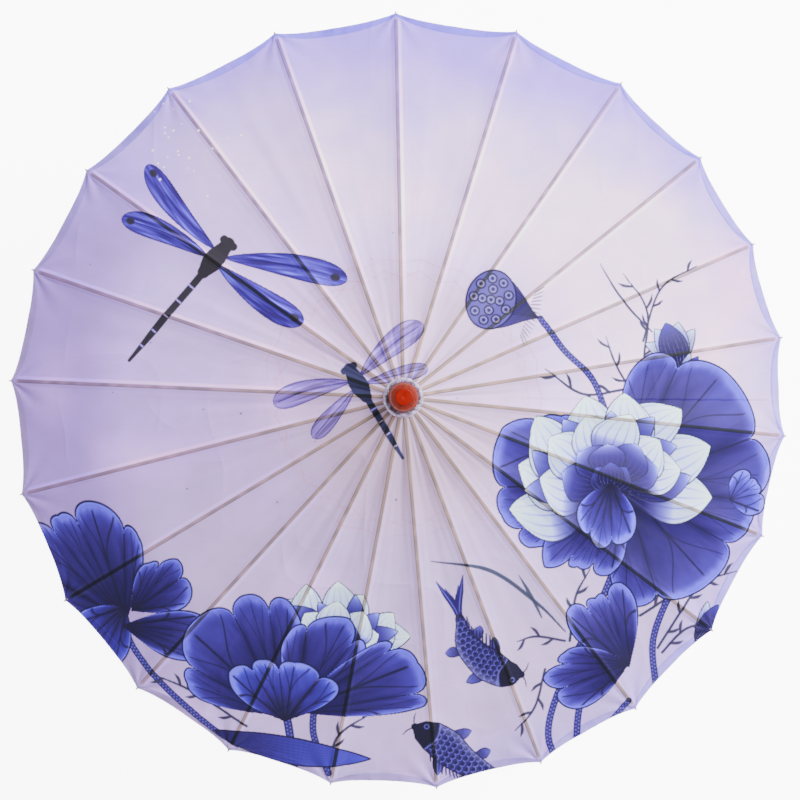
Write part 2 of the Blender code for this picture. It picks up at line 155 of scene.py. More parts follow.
def hem_width(across):
    """The hem is widest midway between two tips."""
    return HEM_AT_TIP + (HEM - HEM_AT_TIP) * (1.0 - (1.0 - np.abs(across)) ** 2)


def wrinkles(x, y, along, depth):
    """Heights (mm) of puckers that run in from the hem, pleats along the gore, and a few sharp creases."""
    height = lattice_noise(along / 11.0, depth / 42.0, SEED) * np.exp(-depth / 26.0) * 0.60
    height += lattice_noise(along / 4.6, depth / 15.0, SEED + 1) * np.exp(-depth / 9.0) * 0.38
    height += lattice_noise(along / 19.0, depth / 120.0, SEED + 2) * 0.85
    for size, seed, high in ((74.0, 3, 0.95), (46.0, 4, 0.55)):
        line = np.abs(lattice_noise(x / size + 9.0, y / size + 9.0, SEED + seed))
        where = smoothstep(-0.25, 0.5, cloudy(x, y, 90.0, SEED + seed, 2))
        height += high * np.exp(-line * size / 6.0) * where
    return height


def tip_folds(rib, x, y):
    """Heights (mm) of the short folds that spread from where the cloth is tied to a rib's tip."""
    ahead = (math.cos(AZIMUTHS[rib]), math.sin(AZIMUTHS[rib]))
    inward = COVER_OUTER * 1000.0 - (x * ahead[0] + y * ahead[1])
    beside = y * ahead[0] - x * ahead[1]
    far = np.hypot(inward, beside) / 16.0
    return 0.8 * np.sin(np.arctan2(beside, inward) * 10.0 + rib * 1.7) * far * np.exp(1.0 - far)


def cover_points(rib, reach, across, turned_in=0.0):
    """Points on the cover. reach is the distance from the shaft along the ribs. across runs from -1, midway
    to the previous rib, over 0, the rib, to 1, midway to the next."""
    half = np.where(across < 0, GAPS[rib - 1], GAPS[rib]) / 2.0
    t = np.abs(across)
    turn = AZIMUTHS[rib] + np.sign(across) * half
    rim_share = np.clip((reach - COVER_INNER) / (COVER_OUTER - COVER_INNER), 0.0, 1.0)
    slack = 1.0 - (1.0 - t) ** 2
    pull = 1.0 - SCALLOP / COVER_OUTER * (1.0 - (1.0 - t) ** CUSP) * rim_share ** 4
    x = reach * pull * ((1 - t) * math.cos(AZIMUTHS[rib]) + t * np.cos(half) * np.cos(turn))
    y = reach * pull * ((1 - t) * math.sin(AZIMUTHS[rib]) + t * np.cos(half) * np.sin(turn))
    from_rib = t * reach * np.sin(half)
    flat_top = np.clip((from_rib - 0.0016) / 0.010, 0.0, 1.0)
    sag = SAG * (0.25 + 0.75 * np.sin(rim_share * math.pi * 0.86)) * slack
    z = HUB_Z - (reach * pull - HINGE_RADIUS) * DROP + LIFT - sag * flat_top ** 0.5
    z = z + RIDGE * smoothstep(RIDGE_FOOT, RIDGE_HALF, from_rib)
    along = (np.arctan2(y, x) % (2 * math.pi)) * COVER_OUTER * 1000.0
    depth = (COVER_OUTER - reach) * 1000.0
    fade = slack * smoothstep(0.0, 60.0, reach * 1000.0)
    z = z + wrinkles(x * 1000.0, y * 1000.0, along, depth) * fade * 0.001
    beside_rib = smoothstep(0.0, 0.10, t) * smoothstep(1.0, 0.7, t)
    z = z + tip_folds(rib, x * 1000.0, y * 1000.0) * beside_rib * 0.001
    # the turned-in hem makes the band thicker
    seam = hem_width(across) * 1000.0
    band = smoothstep(seam + 0.6, seam - 0.6, depth) * 0.0005
    z = z + band * (0.4 + 0.6 * slack) - turned_in
    return np.stack([x, y, z], -1)


def strip_rows():
    """How far along the ribs each row of the cover's mesh lies, out to the rim."""
    count = int(round((COVER_OUTER - COVER_INNER) / CELL))
    return np.linspace(COVER_INNER, COVER_OUTER, count + 1)


def row_columns(rib, reach):
    """Where across the strip a row's points lie. A few follow the ridge over the rib, and the rest are spread
    evenly, closer together near the shaft than a cell allows."""
    sides = []
    for gap in (GAPS[rib - 1], GAPS[rib]):
        half = reach * math.sin(gap / 2)
        foot = min(RIDGE_FOOT, 0.6 * half)
        ridge = foot * np.array((0.0, 0.13, 0.26, 0.38, 0.50, 0.63, 0.76, 0.88, 1.0))
        rest = np.linspace(foot, half, max(1, int(math.ceil((half - foot) / CELL))) + 1)[1:]
        sides.append(np.concatenate([ridge, rest]) / half)
    return np.concatenate([-sides[0][:0:-1], sides[1]])


def stitch(low, high, low_start, high_start):
    """Triangles between two rows of points whose places across the strip are low and high."""
    low_mid = (low[:-1] + low[1:]) / 2
    high_mid = (high[:-1] + high[1:]) / 2
    k = np.arange(len(low_mid))
    up = np.searchsorted(high_mid, low_mid, side="left")
    first = np.stack([low_start + k, high_start + up, low_start + k + 1], -1)
    m = np.arange(len(high_mid))
    down = np.searchsorted(low_mid, high_mid, side="right")
    second = np.stack([high_start + m, high_start + m + 1, low_start + down], -1)
    return np.concatenate([first, second])


def strip_mesh(rib):
    """A strip's points, their place (reach, across) and its triangles, facing up."""
    rows = [(reach, 0.0) for reach in strip_rows()]
    rows += [(COVER_OUTER, step / 6) for step in range(1, 7)]
    points, reaches, across, faces = [], [], [], []
    before, start, before_start = None, 0, 0
    for reach, hem_share in rows:
        columns = row_columns(rib, reach)
        inward = reach - hem_width(columns) * hem_share
        turned_in = 0.0006 * (hem_share + min(hem_share * 6.0, 1.0))
        points.append(cover_points(rib, inward, columns, turned_in))
        reaches.append(inward)
        across.append(columns)
        if before is not None:
            faces.append(stitch(before, columns, before_start, start))
        before, before_start = columns, start
        start += len(columns)
    return np.concatenate(points), np.concatenate(reaches), np.concatenate(across), np.concatenate(faces)


def mesh_from_arrays(name, points, triangles):
    mesh = bpy.data.meshes.new(name)
    mesh.vertices.add(len(points))
    mesh.vertices.foreach_set("co", np.asarray(points, np.float32).ravel())
    mesh.loops.add(len(triangles) * 3)
    mesh.loops.foreach_set("vertex_index", np.asarray(triangles, np.int32).ravel())
    mesh.polygons.add(len(triangles))
    mesh.polygons.foreach_set("loop_start", np.arange(0, len(triangles) * 3, 3, dtype=np.int32))
    mesh.update(calc_edges=True)
    mesh.validate()
    mesh.shade_smooth()
    return mesh


# ---------------------------------------------------------------- the print
# The print is a generic water garden of leaves, flowers, fish and dragonflies. Each motif is a formula,
# placed by a few given values. Colours are sRGB from 0 to 255, and places are millimetres in plan from
# the shaft.
NAVY = (40, 36, 90)
INK = (46, 40, 86)
DEEP = (52, 50, 136)
BLUE = (82, 86, 184)
PERIWINKLE = (124, 134, 224)
PALE_BLUE = (172, 182, 240)
WHITE = (226, 231, 240)
PETAL_LINE = (112, 120, 142)
SLATE = (84, 84, 128)
CHARCOAL = (78, 72, 90)
SCALE_EDGE = (164, 170, 226)
FISH_HEAD = (40, 37, 82)
GILL = 0.215  # share of a fish's length that its head takes
OUTSIDE = -9.0  # any distance well outside a motif's edge
PALE_LEAF_RAMP = ((0.0, NAVY), (0.35, BLUE), (0.8, PERIWINKLE), (1.0, PALE_BLUE))
LEAF_RAMP = ((0.0, NAVY), (0.20, DEEP), (0.48, (78, 80, 170)), (0.78, (114, 118, 206)),
             (1.0, (158, 164, 232)))


def ramp(share, stops):
    """A colour for each share, from (share, colour) stops."""
    places = [place for place, _ in stops]
    return np.stack([np.interp(share, places, [colour[k] for _, colour in stops]) for k in range(3)], -1)


def between(a, b, share):
    """Colours part of the way from a to b, by a share for each row."""
    share = np.clip(np.asarray(share, float), 0.0, 1.0)[:, None]
    return np.asarray(a, float) * (1.0 - share) + np.asarray(b, float) * share


def unit(start, end):
    """The direction from start to end, and the one to its left."""
    ahead = np.subtract(end, start).astype(float)
    ahead = ahead / np.linalg.norm(ahead)
    return ahead, left_of(ahead)


def left_of(ahead):
    return np.array([-ahead[1], ahead[0]])


def curve(points, step=2.0):
    """A smooth curve through a few points, as samples about a step apart."""
    p = np.asarray(points, float)
    p = np.vstack([2 * p[0] - p[1], p, 2 * p[-1] - p[-2]])
    samples = []
    for a, b, c, d in zip(p, p[1:], p[2:], p[3:]):
        count = max(2, int(np.linalg.norm(c - b) / step))
        t = (np.arange(count) / count)[:, None]
        samples.append(0.5 * (2 * b + (c - a) * t + (2 * a - 5 * b + 4 * c - d) * t ** 2
                              + (3 * b - a - 3 * c + d) * t ** 3))
    return np.vstack(samples + [p[-2][None]])


def ground_colour_and_painted_light(x, y):
    """The cloth before printing: pale at the right, lilac at the left, greyer below, bluer along the top.
    The paleness at the right is painted light; the darkening at the left, below and round the hub is painted
    shade.
    """
    radius = np.hypot(x, y) / 410.0
    angle = np.arctan2(y, x)
    cloud = cloudy(x, y, 95.0, 3)
    fine = cloudy(x, y, 30.0, 9)
    # Painted light at the right, towards the lamp; painted shade at the left, out towards the rim at the
    # left, below and round the hub.
    painted_light_right = smoothstep(0.24, 0.54, radius) * (0.5 + 0.5 * np.cos(angle - 0.9))
    left = smoothstep(-0.25, 1.05, -np.cos(angle - 0.35) * radius + 0.16 * cloud)
    low = smoothstep(0.05, 0.50, radius * np.clip(-np.sin(angle), 0, 1))
    top = smoothstep(0.50, 1.0, radius * np.clip(np.sin(angle + 0.10), 0, 1) + 0.12 * cloud)
    rim = smoothstep(0.80, 1.0, radius + 0.05 * cloud) * (0.62 + 0.38 * np.cos(angle - 0.6))
    dull = smoothstep(0.68, 0.86, radius) * smoothstep(0.55, 0.98, -np.cos(angle - 0.10))
    hub = smoothstep(0.42, 0.12, radius) * np.clip(0.1 - np.sin(angle), 0, 1)
    blush = smoothstep(0.25, 0.9, cloudy(x, y, 120.0, 15, 2)) * smoothstep(0.1, 0.4, radius)
    base = np.tile((220.0, 211.0, 224.0), (len(x), 1))
    # These lay the painted light and shade, with the cloth's own tints, over the base colour.
    for colour, share in (
            ((230, 225, 243), painted_light_right), ((213, 202, 230), left * 0.95), ((216, 208, 224), low * 0.85),
            ((211, 205, 250), top * 0.90), ((206, 198, 238), rim * 0.48), ((196, 182, 218), dull * 0.65),
            ((208, 197, 209), hub * 0.7), ((236, 222, 240), blush * 0.5)):
        base = between(base, colour, share)
    return base + (2.2 * fine)[:, None]


class Print:
    """Paints over the cover's points. They are sorted into squares, so that a motif finds its own quickly."""
    SQUARE = 16.0
    SQUARES = 54  # along each side, with the shaft in the middle

    def __init__(self, x, y):
        self.x, self.y = x, y
        self.colour = ground_colour_and_painted_light(x, y)
        code = self.square(y) * self.SQUARES + self.square(x)
        self.order = np.argsort(code, kind="stable")
        self.starts = np.searchsorted(code[self.order], np.arange(self.SQUARES ** 2 + 1))

    def square(self, place):
        return np.floor(np.asarray(place) / self.SQUARE).astype(int) + self.SQUARES // 2

    def near(self, low, high):
        """The points within a box."""
        left, bottom = np.maximum(self.square(low), 0)
        right, top = np.minimum(self.square(high), self.SQUARES - 1)
        found = [np.zeros(0, int)]
        for row in range(bottom, top + 1):
            if right >= left:
                start, end = row * self.SQUARES + left, row * self.SQUARES + right + 1
                found.append(self.order[self.starts[start]:self.starts[end]])
        found = np.concatenate(found)
        keep = ((self.x[found] >= low[0]) & (self.x[found] <= high[0])
                & (self.y[found] >= low[1]) & (self.y[found] <= high[1]))
        return found[keep]

    def around(self, centre, reach, heading, stretch=1.0):
        """The points near a centre, and how far they lie from it along and beside a heading."""
        found = self.near(np.subtract(centre, reach), np.add(centre, reach))
        dx, dy = self.x[found] - centre[0], self.y[found] - centre[1]
        c, s = math.cos(heading), math.sin(heading)
        return found, (dx * c + dy * s) / stretch, dy * c - dx * s

    def blade(self, base, tip, width, bow):
        """The points near a bowed middle line, their share of its length, their distance to its left, and
        its length."""
        length = np.linalg.norm(np.subtract(tip, base))
        (ux, uy), _ = unit(base, tip)
        margin = width + abs(bow) * length
        found = self.near(np.minimum(base, tip) - margin, np.maximum(base, tip) + margin)
        dx, dy = self.x[found] - base[0], self.y[found] - base[1]
        u = (dx * ux + dy * uy) / length
        return found, u, dy * ux - dx * uy - bow * length * 4.0 * u * (1.0 - u), length

    def lay(self, found, colour, cover):
        """Blends a colour over the points found, by each one's cover from 0 to 1."""
        self.colour[found] = between(self.colour[found], colour, cover)

    def fill(self, found, colour, edge, share=1.0):
        """Lays a colour where the distance inside a motif's edge is positive."""
        self.lay(found, colour, smoothstep(-0.5, 0.4, edge) * share)

    def measure(self, line, margin):
        """The points near a line, their distance to its left (mm), and the share of it that they lie at."""
        found = self.near(line.min(0) - margin, line.max(0) + margin)
        x, y = self.x[found], self.y[found]
        best = np.full(len(found), 1e9)
        side = np.zeros(len(found))
        share = np.zeros(len(found))
        steps = np.hypot(*np.diff(line, axis=0).T)
        runs = np.concatenate([[0.0], np.cumsum(steps)])
        for (ax, ay), (bx, by), step, run in zip(line, line[1:], steps, runs):
            ux, uy = (bx - ax) / step, (by - ay) / step
            t = np.clip((x - ax) * ux + (y - ay) * uy, 0.0, step)
            ex, ey = x - ax - t * ux, y - ay - t * uy
            away = np.hypot(ex, ey)
            closer = away < best
            best[closer] = away[closer]
            side[closer] = np.where(ux * ey - uy * ex >= 0, away, -away)[closer]
            share[closer] = ((run + t) / runs[-1])[closer]
        return found, side, share, runs[-1]

    def stroke(self, points, width, colour, strength=1.0, taper=(1.0, 1.0)):
        """A brushed line through the points, with each end narrowed to a share of its width."""
        line = curve(points)
        found, side, share, _ = self.measure(line, width)
        swell = np.interp(share, (0.0, 0.35, 0.65, 1.0), (taper[0], 1.0, 1.0, taper[1]))
        half = width * swell / 2.0
        self.lay(found, colour, strength * smoothstep(0.45, -0.45, np.abs(side) - half))

    def spot(self, centre, radius, colour, strength=1.0, stretch=1.0, heading=0.0):
        """A filled round, stretched along its heading."""
        found, along, beside = self.around(centre, radius * max(stretch, 1.0) + 1.0, heading, stretch)
        self.lay(found, colour, strength * smoothstep(0.5, -0.5, np.hypot(along, beside) - radius))

    def petal(self, base, tip, width, bow=0.0, full=0.55, stops=((0.0, WHITE), (1.0, WHITE)), line=PETAL_LINE,
              stripes=0.0, stripe_colour=PERIWINKLE, outline=0.8):
        """A pointed petal that is widest at the share `full` of its length and bows to its left."""
        found, u, v, _ = self.blade(base, tip, width, bow)
        inside = np.clip(u, 1e-4, 1.0 - 1e-4)
        power = math.log(0.5) / math.log(full)
        half = width / 2.0 * np.sin(math.pi * inside ** power) ** 0.8
        edge = np.where((u > 0) & (u < 1), half - np.abs(v), OUTSIDE)
        colour = ramp(inside, stops)
        if stripes:
            lane = v / np.maximum(half, 1e-3)
            ridge = np.abs(np.sin(lane * stripes * math.pi / 2.0))
            colour = between(colour, stripe_colour, smoothstep(0.4, 0.05, ridge) * (1.0 - inside) * 0.9)
        colour = between(colour, line, smoothstep(outline + 0.5, outline - 0.4, edge))
        self.fill(found, colour, edge)

    def leaf(self, heart, reach, start, end, lobes, seed, stretch=1.0, heading=0.0, depth=0.16, soft=0.30,
             stops=LEAF_RAMP):
        """A lobed leaf: a fan about its heart from one angle to another (degrees), notched between lobes."""
        heading = math.radians(heading)
        found, along, beside = self.around(heart, reach * max(stretch, 1.0) * 1.25, heading, stretch)
        rho = np.hypot(along, beside) + 1e-6
        sweep = math.radians(end - start)
        share = ((np.arctan2(beside, along) - math.radians(start)) % (2 * math.pi)) / sweep
        edge, place, lobe = self.leaf_edge(rho, share, reach, sweep, lobes, seed, depth, soft)
        wide = rho * sweep / lobes
        middle = np.abs(lobe - 0.5)
        crease = np.exp(-((0.5 - middle) / 0.10) ** 2) * smoothstep(0.15, 0.8, place)
        grain = cloudy(lobe * 3.0 + np.floor(share * lobes) * 5.0, place * 2.0, 0.5, seed + 5)
        lit = smoothstep(16.0, 3.0, edge) * smoothstep(0.35, 0.75, place)
        tone = np.clip(0.80 * place ** 1.2 + 0.26 * lit + 0.13 * grain - 0.30 * crease, 0.0, 1.0)
        colour = ramp(tone, stops)
        fork = 0.32 * smoothstep(0.40, 1.0, place)
        for at, width, fade in ((0.0, 1.2, 1.0), (0.5, 1.0, 0.90), (0.5 - fork, 0.6, 0.92),
                                (0.5 + fork, 0.6, 0.92)):
            off = np.abs(lobe - at)
            off = np.minimum(off, 1.0 - off) * wide
            shown = smoothstep(width / 2 + 0.45, width / 2 - 0.35, off) * smoothstep(fade + 0.03, fade, place)
            colour = between(colour, NAVY, shown * 0.85)
        rim = smoothstep(1.1, 1.7, edge) * smoothstep(3.4, 2.2, edge)
        colour = between(colour, PALE_BLUE, rim * 0.8 * smoothstep(0.45, 0.8, place))
        colour = between(colour, (36, 32, 76), smoothstep(1.8, 0.8, edge))
        self.fill(found, colour, edge)

    def leaf_edge(self, rho, share, reach, sweep, lobes, seed, depth, soft):
        """How far inside a leaf's margin a point lies (mm), its share of the way out and its place in its
        lobe."""
        sizes = np.random.default_rng(seed).uniform(-1.0, 1.0, lobes + 2)

        def swayed(at):
            at = np.clip(at, 0.0, 1.0)
            return at + 0.30 / lobes * np.sin(math.pi * at) * np.sin(0.65 * math.pi * at * lobes + seed)

        def margin(at):
            q = lobes * swayed(at)
            f = q - np.floor(q)
            vary = np.interp(q, np.arange(lobes + 2) - 0.5, sizes)
            scallop = 1.0 - depth * (1.0 - np.sqrt(np.clip(4 * f * (1 - f), 0, 1)))
            window = np.clip(np.sin(math.pi * np.clip(at, 0.004, 0.996)), 0, 1) ** soft if soft else 1.0
            return reach * window * scallop * (1.0 + 0.15 * vary)

        limit = margin(share)
        small = 0.004
        slope = (margin(share + small) - margin(share - small)) / (2 * small * sweep)
        edge = (limit - rho) / np.sqrt(1.0 + np.clip(slope / np.maximum(limit, 1.0), -4, 4) ** 2)
        edge = np.where(share <= 1.0, edge, OUTSIDE)
        lobe = lobes * swayed(share) % 1.0
        return edge, np.clip(rho / np.maximum(limit, 1e-3), 0, 1.2), lobe

    def stem(self, points, width):
        """A stalk with dark sides and two rows of pale dots."""
        line = curve(points)
        found, side, share, length = self.measure(line, width)
        half = width / 2.0
        shade = between((88, 92, 172), DEEP, smoothstep(0.45, 0.95, np.abs(side) / half))
        along = share * length
        row = np.where(side > 0, 0.0, 2.0)
        dots = np.hypot((along + row) % 4.0 - 2.0, np.abs(side) - half * 0.42)
        shade = between(shade, (164, 172, 228), smoothstep(1.35, 0.55, dots) * 0.85)
        self.lay(found, shade, smoothstep(0.45, -0.45, np.abs(side) - half))

    def twig(self, points, width, thorns=5, thorn=9.0):
        """A thin twig with short thorns that alternate from side to side."""
        self.stroke(points, width, SLATE, 0.92, (0.35, 1.0))
        line = curve(points)
        for k in range(thorns):
            at = int((k + 0.7) / (thorns + 0.4) * (len(line) - 2))
            ahead, left = unit(line[at], line[at + 1])
            out = left * (1 if k % 2 else -1)
            tip = line[at] + (out * 0.70 - ahead * 0.85) * thorn
            self.stroke((line[at], (line[at] + tip) / 2 + out * thorn * 0.12, tip), width * 1.25, SLATE, 0.9,
                        (0.7, 0.1))

    def wing(self, root, tip, width, colour, light, line, strength=1.0, bow=0.0, seed=1, spot=True):
        """A dragonfly's wing: narrow at the root, round at the tip, with brush streaks along it."""
        root, tip = np.asarray(root, float), np.asarray(tip, float)
        found, u, v, length = self.blade(root, tip, width, bow)
        ahead, left = unit(root, tip)
        inside = np.clip(u, 1e-4, 1.0 - 1e-4)
        half = width / 2.0 * 1.22 * inside ** 0.62 * (1.0 - inside ** 5) ** 0.55
        edge = np.where((u > 0) & (u < 1), half - np.abs(v), OUTSIDE)
        streak = lattice_noise(v / 2.6, u * length / 38.0, seed)
        streak += 0.7 * lattice_noise(v / 1.5, u * length / 17.0, seed + 1)
        shade = between(colour, light, 0.40 + 0.60 * streak)
        shade = between(shade, NAVY, 0.30 * smoothstep(0.2, 1.2, -streak))
        shade = between(shade, line, smoothstep(1.3, 0.3, edge))
        body = strength + (1.0 - strength) * smoothstep(1.3, 0.3, edge)
        self.fill(found, shade, edge, body)
        if spot:
            heading = math.atan2(ahead[1], ahead[0])
            self.spot(root + (tip - root) * 0.90, width * 0.13, CHARCOAL, 0.9, 1.3, heading)
        vein = root + (tip - root) * 0.93
        self.stroke((root, (root + vein) / 2 + left * bow * length, vein), 0.9, line, 0.75)

    def dragonfly(self, chest, tail, wings, size, colours, strength, segments, spot):
        """Wings first, then the chest, the head and a jointed tail. Wings are (tip, width, bow)."""
        body, colour, light, line = colours
        chest, tail = np.asarray(chest, float), np.asarray(tail, float)
        ahead, beside = unit(tail, chest)
        for k, (tip, width, bow) in enumerate(wings):
            aside = beside if np.dot(np.asarray(tip) - chest, beside) > 0 else -beside
            root = chest + aside * size * 0.18 + ahead * size * (0.14 if k % 2 == 0 else -0.12)
            self.wing(root, tip, width, colour, light, line, strength, bow, 20 + k, spot)
        self.stroke((chest + ahead * size * 0.30, chest, chest - ahead * size * 0.46), size * 0.50, body, 1.0,
                    (0.72, 0.62))
        self.spot(chest + ahead * size * 0.44, size * 0.17, body)
        for side in (-1, 1):
            self.spot(chest + ahead * size * 0.47 + beside * side * size * 0.15, size * 0.10, body)
        start = chest - ahead * size * 0.46
        self.stroke((start, (start + tail) / 2, tail), size * 0.18, body, 1.0, (1.0, 0.42))
        for k in range(1, segments):
            joint = start + (tail - start) * k / segments
            reach = beside * (size * 0.09 * (1.0 - 0.58 * k / segments) - 0.3)
            self.stroke((joint - reach, joint + reach), size * 0.045, (210, 204, 240), 0.95)

    def fish(self, points, width):
        """A fish from its nose to the root of its tail: fins, then the scaled body and the dark head."""
        line = curve(points, 1.5)
        nose, end = line[0], line[-1]
        back, aside = unit(line[-6], end)
        for lean in (-0.09, 0.09, -0.20, 0.20, -0.32, 0.32):
            tip = end + (back + aside * lean) * width * (0.50 + 2.2 * abs(lean))
            middle = end + (back * 0.42 + aside * lean * 0.30) * width
            self.stroke((end - back * 2, middle, tip), width * 0.15, (66, 68, 152), 1.0, (0.9, 0.16))
            self.stroke((end, middle, tip), width * 0.04, (150, 158, 224), 0.9, (0.6, 0.4))
        for at, lean, reach in ((0.30, 1.0, 0.58), (0.30, -1.0, 0.62), (0.66, -1.0, 0.42), (0.66, 1.0, 0.42)):
            k = int(at * (len(line) - 2))
            ahead, left = unit(line[k], line[k + 1])
            out = left * lean
            root = line[k] + out * width * 0.30
            tip = root + (out * 0.8 + ahead * 0.9) * width * reach
            self.petal(root, tip, width * 0.32, -0.10 * lean, 0.6,
                       ((0.0, (62, 64, 150)), (1.0, (150, 158, 224))), (44, 42, 100), 7.0, NAVY)
        found, side, share, length = self.measure(line, width)
        along = share * length
        half = width / 2.0 * np.interp(share, (0.0, 0.06, 0.18, 0.38, 0.70, 0.92, 1.0),
                                       (0.20, 0.58, 0.86, 1.0, 0.72, 0.34, 0.26))
        edge = half - np.abs(side)
        pitch = width / 6.0
        row = np.floor(along / pitch)
        across = (side / pitch + 0.5 * (row % 2)) % 1.0 - 0.5
        into = (along / pitch) % 1.0
        scale = np.hypot(across, into - 0.15)
        shade = between((72, 76, 156), SCALE_EDGE, smoothstep(0.11, 0.02, np.abs(scale - 0.5)) * 0.85)
        shade = between(shade, NAVY, 0.75 * smoothstep(0.40, 0.10, scale))
        belly = smoothstep(0.35, 0.98, side / np.maximum(half, 0.1))
        shade = between(shade, (190, 194, 230), 0.6 * belly)
        from_nose = share - 0.03 * np.cos(side / width * 5)
        shade = between(shade, FISH_HEAD, smoothstep(GILL, GILL - 0.025, from_nose) * 0.95)
        gill = np.abs(from_nose - GILL)
        shade = between(shade, SCALE_EDGE, smoothstep(0.012, 0.004, gill) * 0.8)
        shade = between(shade, FISH_HEAD, smoothstep(1.3, 0.5, edge))
        self.fill(found, shade, edge)
        k = int(0.10 * len(line))
        ahead, aside = unit(line[k], line[k + 1])
        eye = line[k] + aside * width * 0.17
        self.spot(eye, width * 0.075, (150, 158, 222))
        self.spot(eye, width * 0.045, FISH_HEAD)
        for lean in (-1, 1):
            whisker = nose + aside * lean * width * 0.36 - ahead * width * 0.18
            self.stroke((nose, (nose + whisker) / 2 - ahead * 1.6, whisker), 1.0, NAVY, 0.9, (1.0, 0.3))
        for k in range(12):
            at = line[int((0.27 + 0.042 * k) * (len(line) - 1))]
            far = 0.64 + 0.10 * math.sin(k * 0.55)
            self.stroke((at - aside * width * 0.42, at - aside * width * far + back * width * 0.14), 1.5,
                        (52, 52, 128), 0.95, (1.0, 0.5))

    def flower(self, heart, reach, petals, start, end, width, flat=1.0, inner=7, seed=0):
        """A many-petalled flower, seen partly from the side: white outer petals whose dark feet show between
        them, a ring of striped blue ones, and a dark bud in the middle."""
        heart = np.asarray(heart, float)
        rng = np.random.default_rng(seed)
        white = ((0.0, NAVY), (0.30, DEEP), (0.46, (138, 146, 210)), (0.62, (216, 221, 238)), (1.0, WHITE))
        striped = ((0.0, NAVY), (0.36, DEEP), (0.70, (92, 96, 186)), (0.92, (168, 178, 230)), (1.0, WHITE))
        rings = ((petals, 1.0, 1.0, 0.0, white, 5.0), (petals - 1, 0.84, 0.55, 0.04, striped, 7.0),
                 (petals - 2, 0.74, 0.92, 0.08, white, 5.0), (inner, 0.52, 0.74, 0.14, striped, 7.0))
        for count, size, wide, tuck, stops, stripes in rings:
            tuck_angle = (end - start) * tuck
            for k in sorted(range(count), key=lambda k: -abs(k - (count - 1) / 2.0 + 0.1)):
                turn = math.radians(start + tuck_angle + (end - start - 2 * tuck_angle) * k / (count - 1))
                turn += rng.uniform(-0.07, 0.07)
                out = np.array([math.cos(turn), math.sin(turn) * flat])
                far = reach * size * (1.0 + rng.uniform(-0.12, 0.10))
                bow = rng.uniform(-0.16, 0.16)
                across = width * wide * (0.8 + 0.2 * flat)
                self.petal(heart + out * reach * 0.04, heart + out * far, across, bow, 0.62, stops,
                           (62, 62, 100), stripes, (120, 130, 202), 0.9)
        for lean in (-0.55, 0.55, 0.0):
            tip = heart + reach * 0.27 * np.array([lean, (1.0 - abs(lean) * 0.4) * flat])
            self.petal(heart - np.array([0.0, reach * 0.05]), tip, width * 0.50, 0.0, 0.52,
                       ((0.0, NAVY), (0.55, DEEP), (1.0, PERIWINKLE)), NAVY, 7.0, PALE_BLUE, 0.7)

    def seed_head(self, centre, radius, heading, stalk):
        """A seed head: the stalk, a ribbed cone, short stamens and a round face of seeds."""
        heading = math.radians(heading)
        ahead = np.array([math.cos(heading), math.sin(heading)])
        aside = left_of(ahead)
        centre = np.asarray(centre, float)
        foot = centre - ahead * radius * 1.75
        self.stem((foot,) + tuple(stalk), radius * 0.21)
        for k in range(15):
            spread = (k - 7) / 7.0
            start = foot + ahead * radius * 0.45 + aside * spread * radius * 0.75
            tip = start - ahead * radius * (0.40 - 0.18 * abs(spread)) + aside * spread * radius * 0.28
            self.stroke((start, (start + tip) / 2, tip), 0.8, PETAL_LINE, 0.8, (1.0, 0.5))
        for k in range(9):
            spread = (k - 4) / 4.0
            rim = centre + aside * spread * radius * 0.92 - ahead * radius * 0.30
            self.petal(foot, rim + ahead * radius * 0.2, radius * 0.42, -0.06 * spread, 0.66,
                       ((0.0, DEEP), (1.0, (112, 116, 196))), NAVY, 0.0, DEEP, 0.6)
        self.spot(centre, radius + 0.6, NAVY, 1.0, 0.82, heading)
        self.spot(centre, radius - 0.8, (138, 140, 204), 1.0, 0.81, heading)
        for ring, count in ((0.0, 1), (0.36, 4), (0.72, 9)):
            for k in range(count):
                turn = 2 * math.pi * (k + 0.3 * ring) / count
                at = centre + (ahead * math.cos(turn) * 0.80 + aside * math.sin(turn)) * ring * radius
                self.spot(at, radius * 0.170, NAVY, 0.9)
                self.spot(at, radius * 0.125, (186, 188, 226), 0.9)
                self.spot(at, radius * 0.060, DEEP, 0.85)

    def bud(self, base, tip, width, sepals=2):
        """A closed bud: sepals behind, two side petals and one in front."""
        base, tip = np.asarray(base, float), np.asarray(tip, float)
        ahead = tip - base
        aside = left_of(ahead)
        blue = ((0.0, NAVY), (0.5, DEEP), (1.0, PERIWINKLE))
        for k in range(sepals):
            lean = -0.55 if k % 2 else 0.55
            self.petal(base, base + ahead * 0.72 + aside * lean, width * 0.42, -0.10 * np.sign(lean), 0.55,
                       ((0.0, (120, 128, 170)), (1.0, WHITE)), INK, 4.0, DEEP)
        for lean in (0.26, -0.26):
            self.petal(base, base + ahead * 0.94 + aside * lean, width * 0.62, -0.05 * np.sign(lean), 0.5,
                       ((0.0, DEEP), (0.5, (170, 180, 226)), (1.0, WHITE)), INK, 6.0, DEEP)
        self.petal(base, tip, width * 0.74, 0.0, 0.48, blue, NAVY, 7.0, PALE_BLUE)


def paint_dragonflies(art):
    art.dragonfly((-190, 145), (-280, 40), (
        ((-265, 245), 27, 0.04), ((-290, 190), 27, -0.04),
        ((-55, 120), 30, 0.03), ((-100, 75), 30, -0.03),
    ), 42, (CHARCOAL, (92, 92, 198), (176, 180, 240), DEEP), 0.92, 6, True)
    art.dragonfly((-45, 15), (0, -60), (
        ((20, 75), 28, 0.04), ((25, 30), 18, 0.0),
        ((-130, -5), 26, -0.04), ((-90, -40), 20, 0.0),
    ), 36, ((78, 86, 136), (150, 134, 212), (208, 198, 236), (88, 78, 170)), 0.55, 5, False)


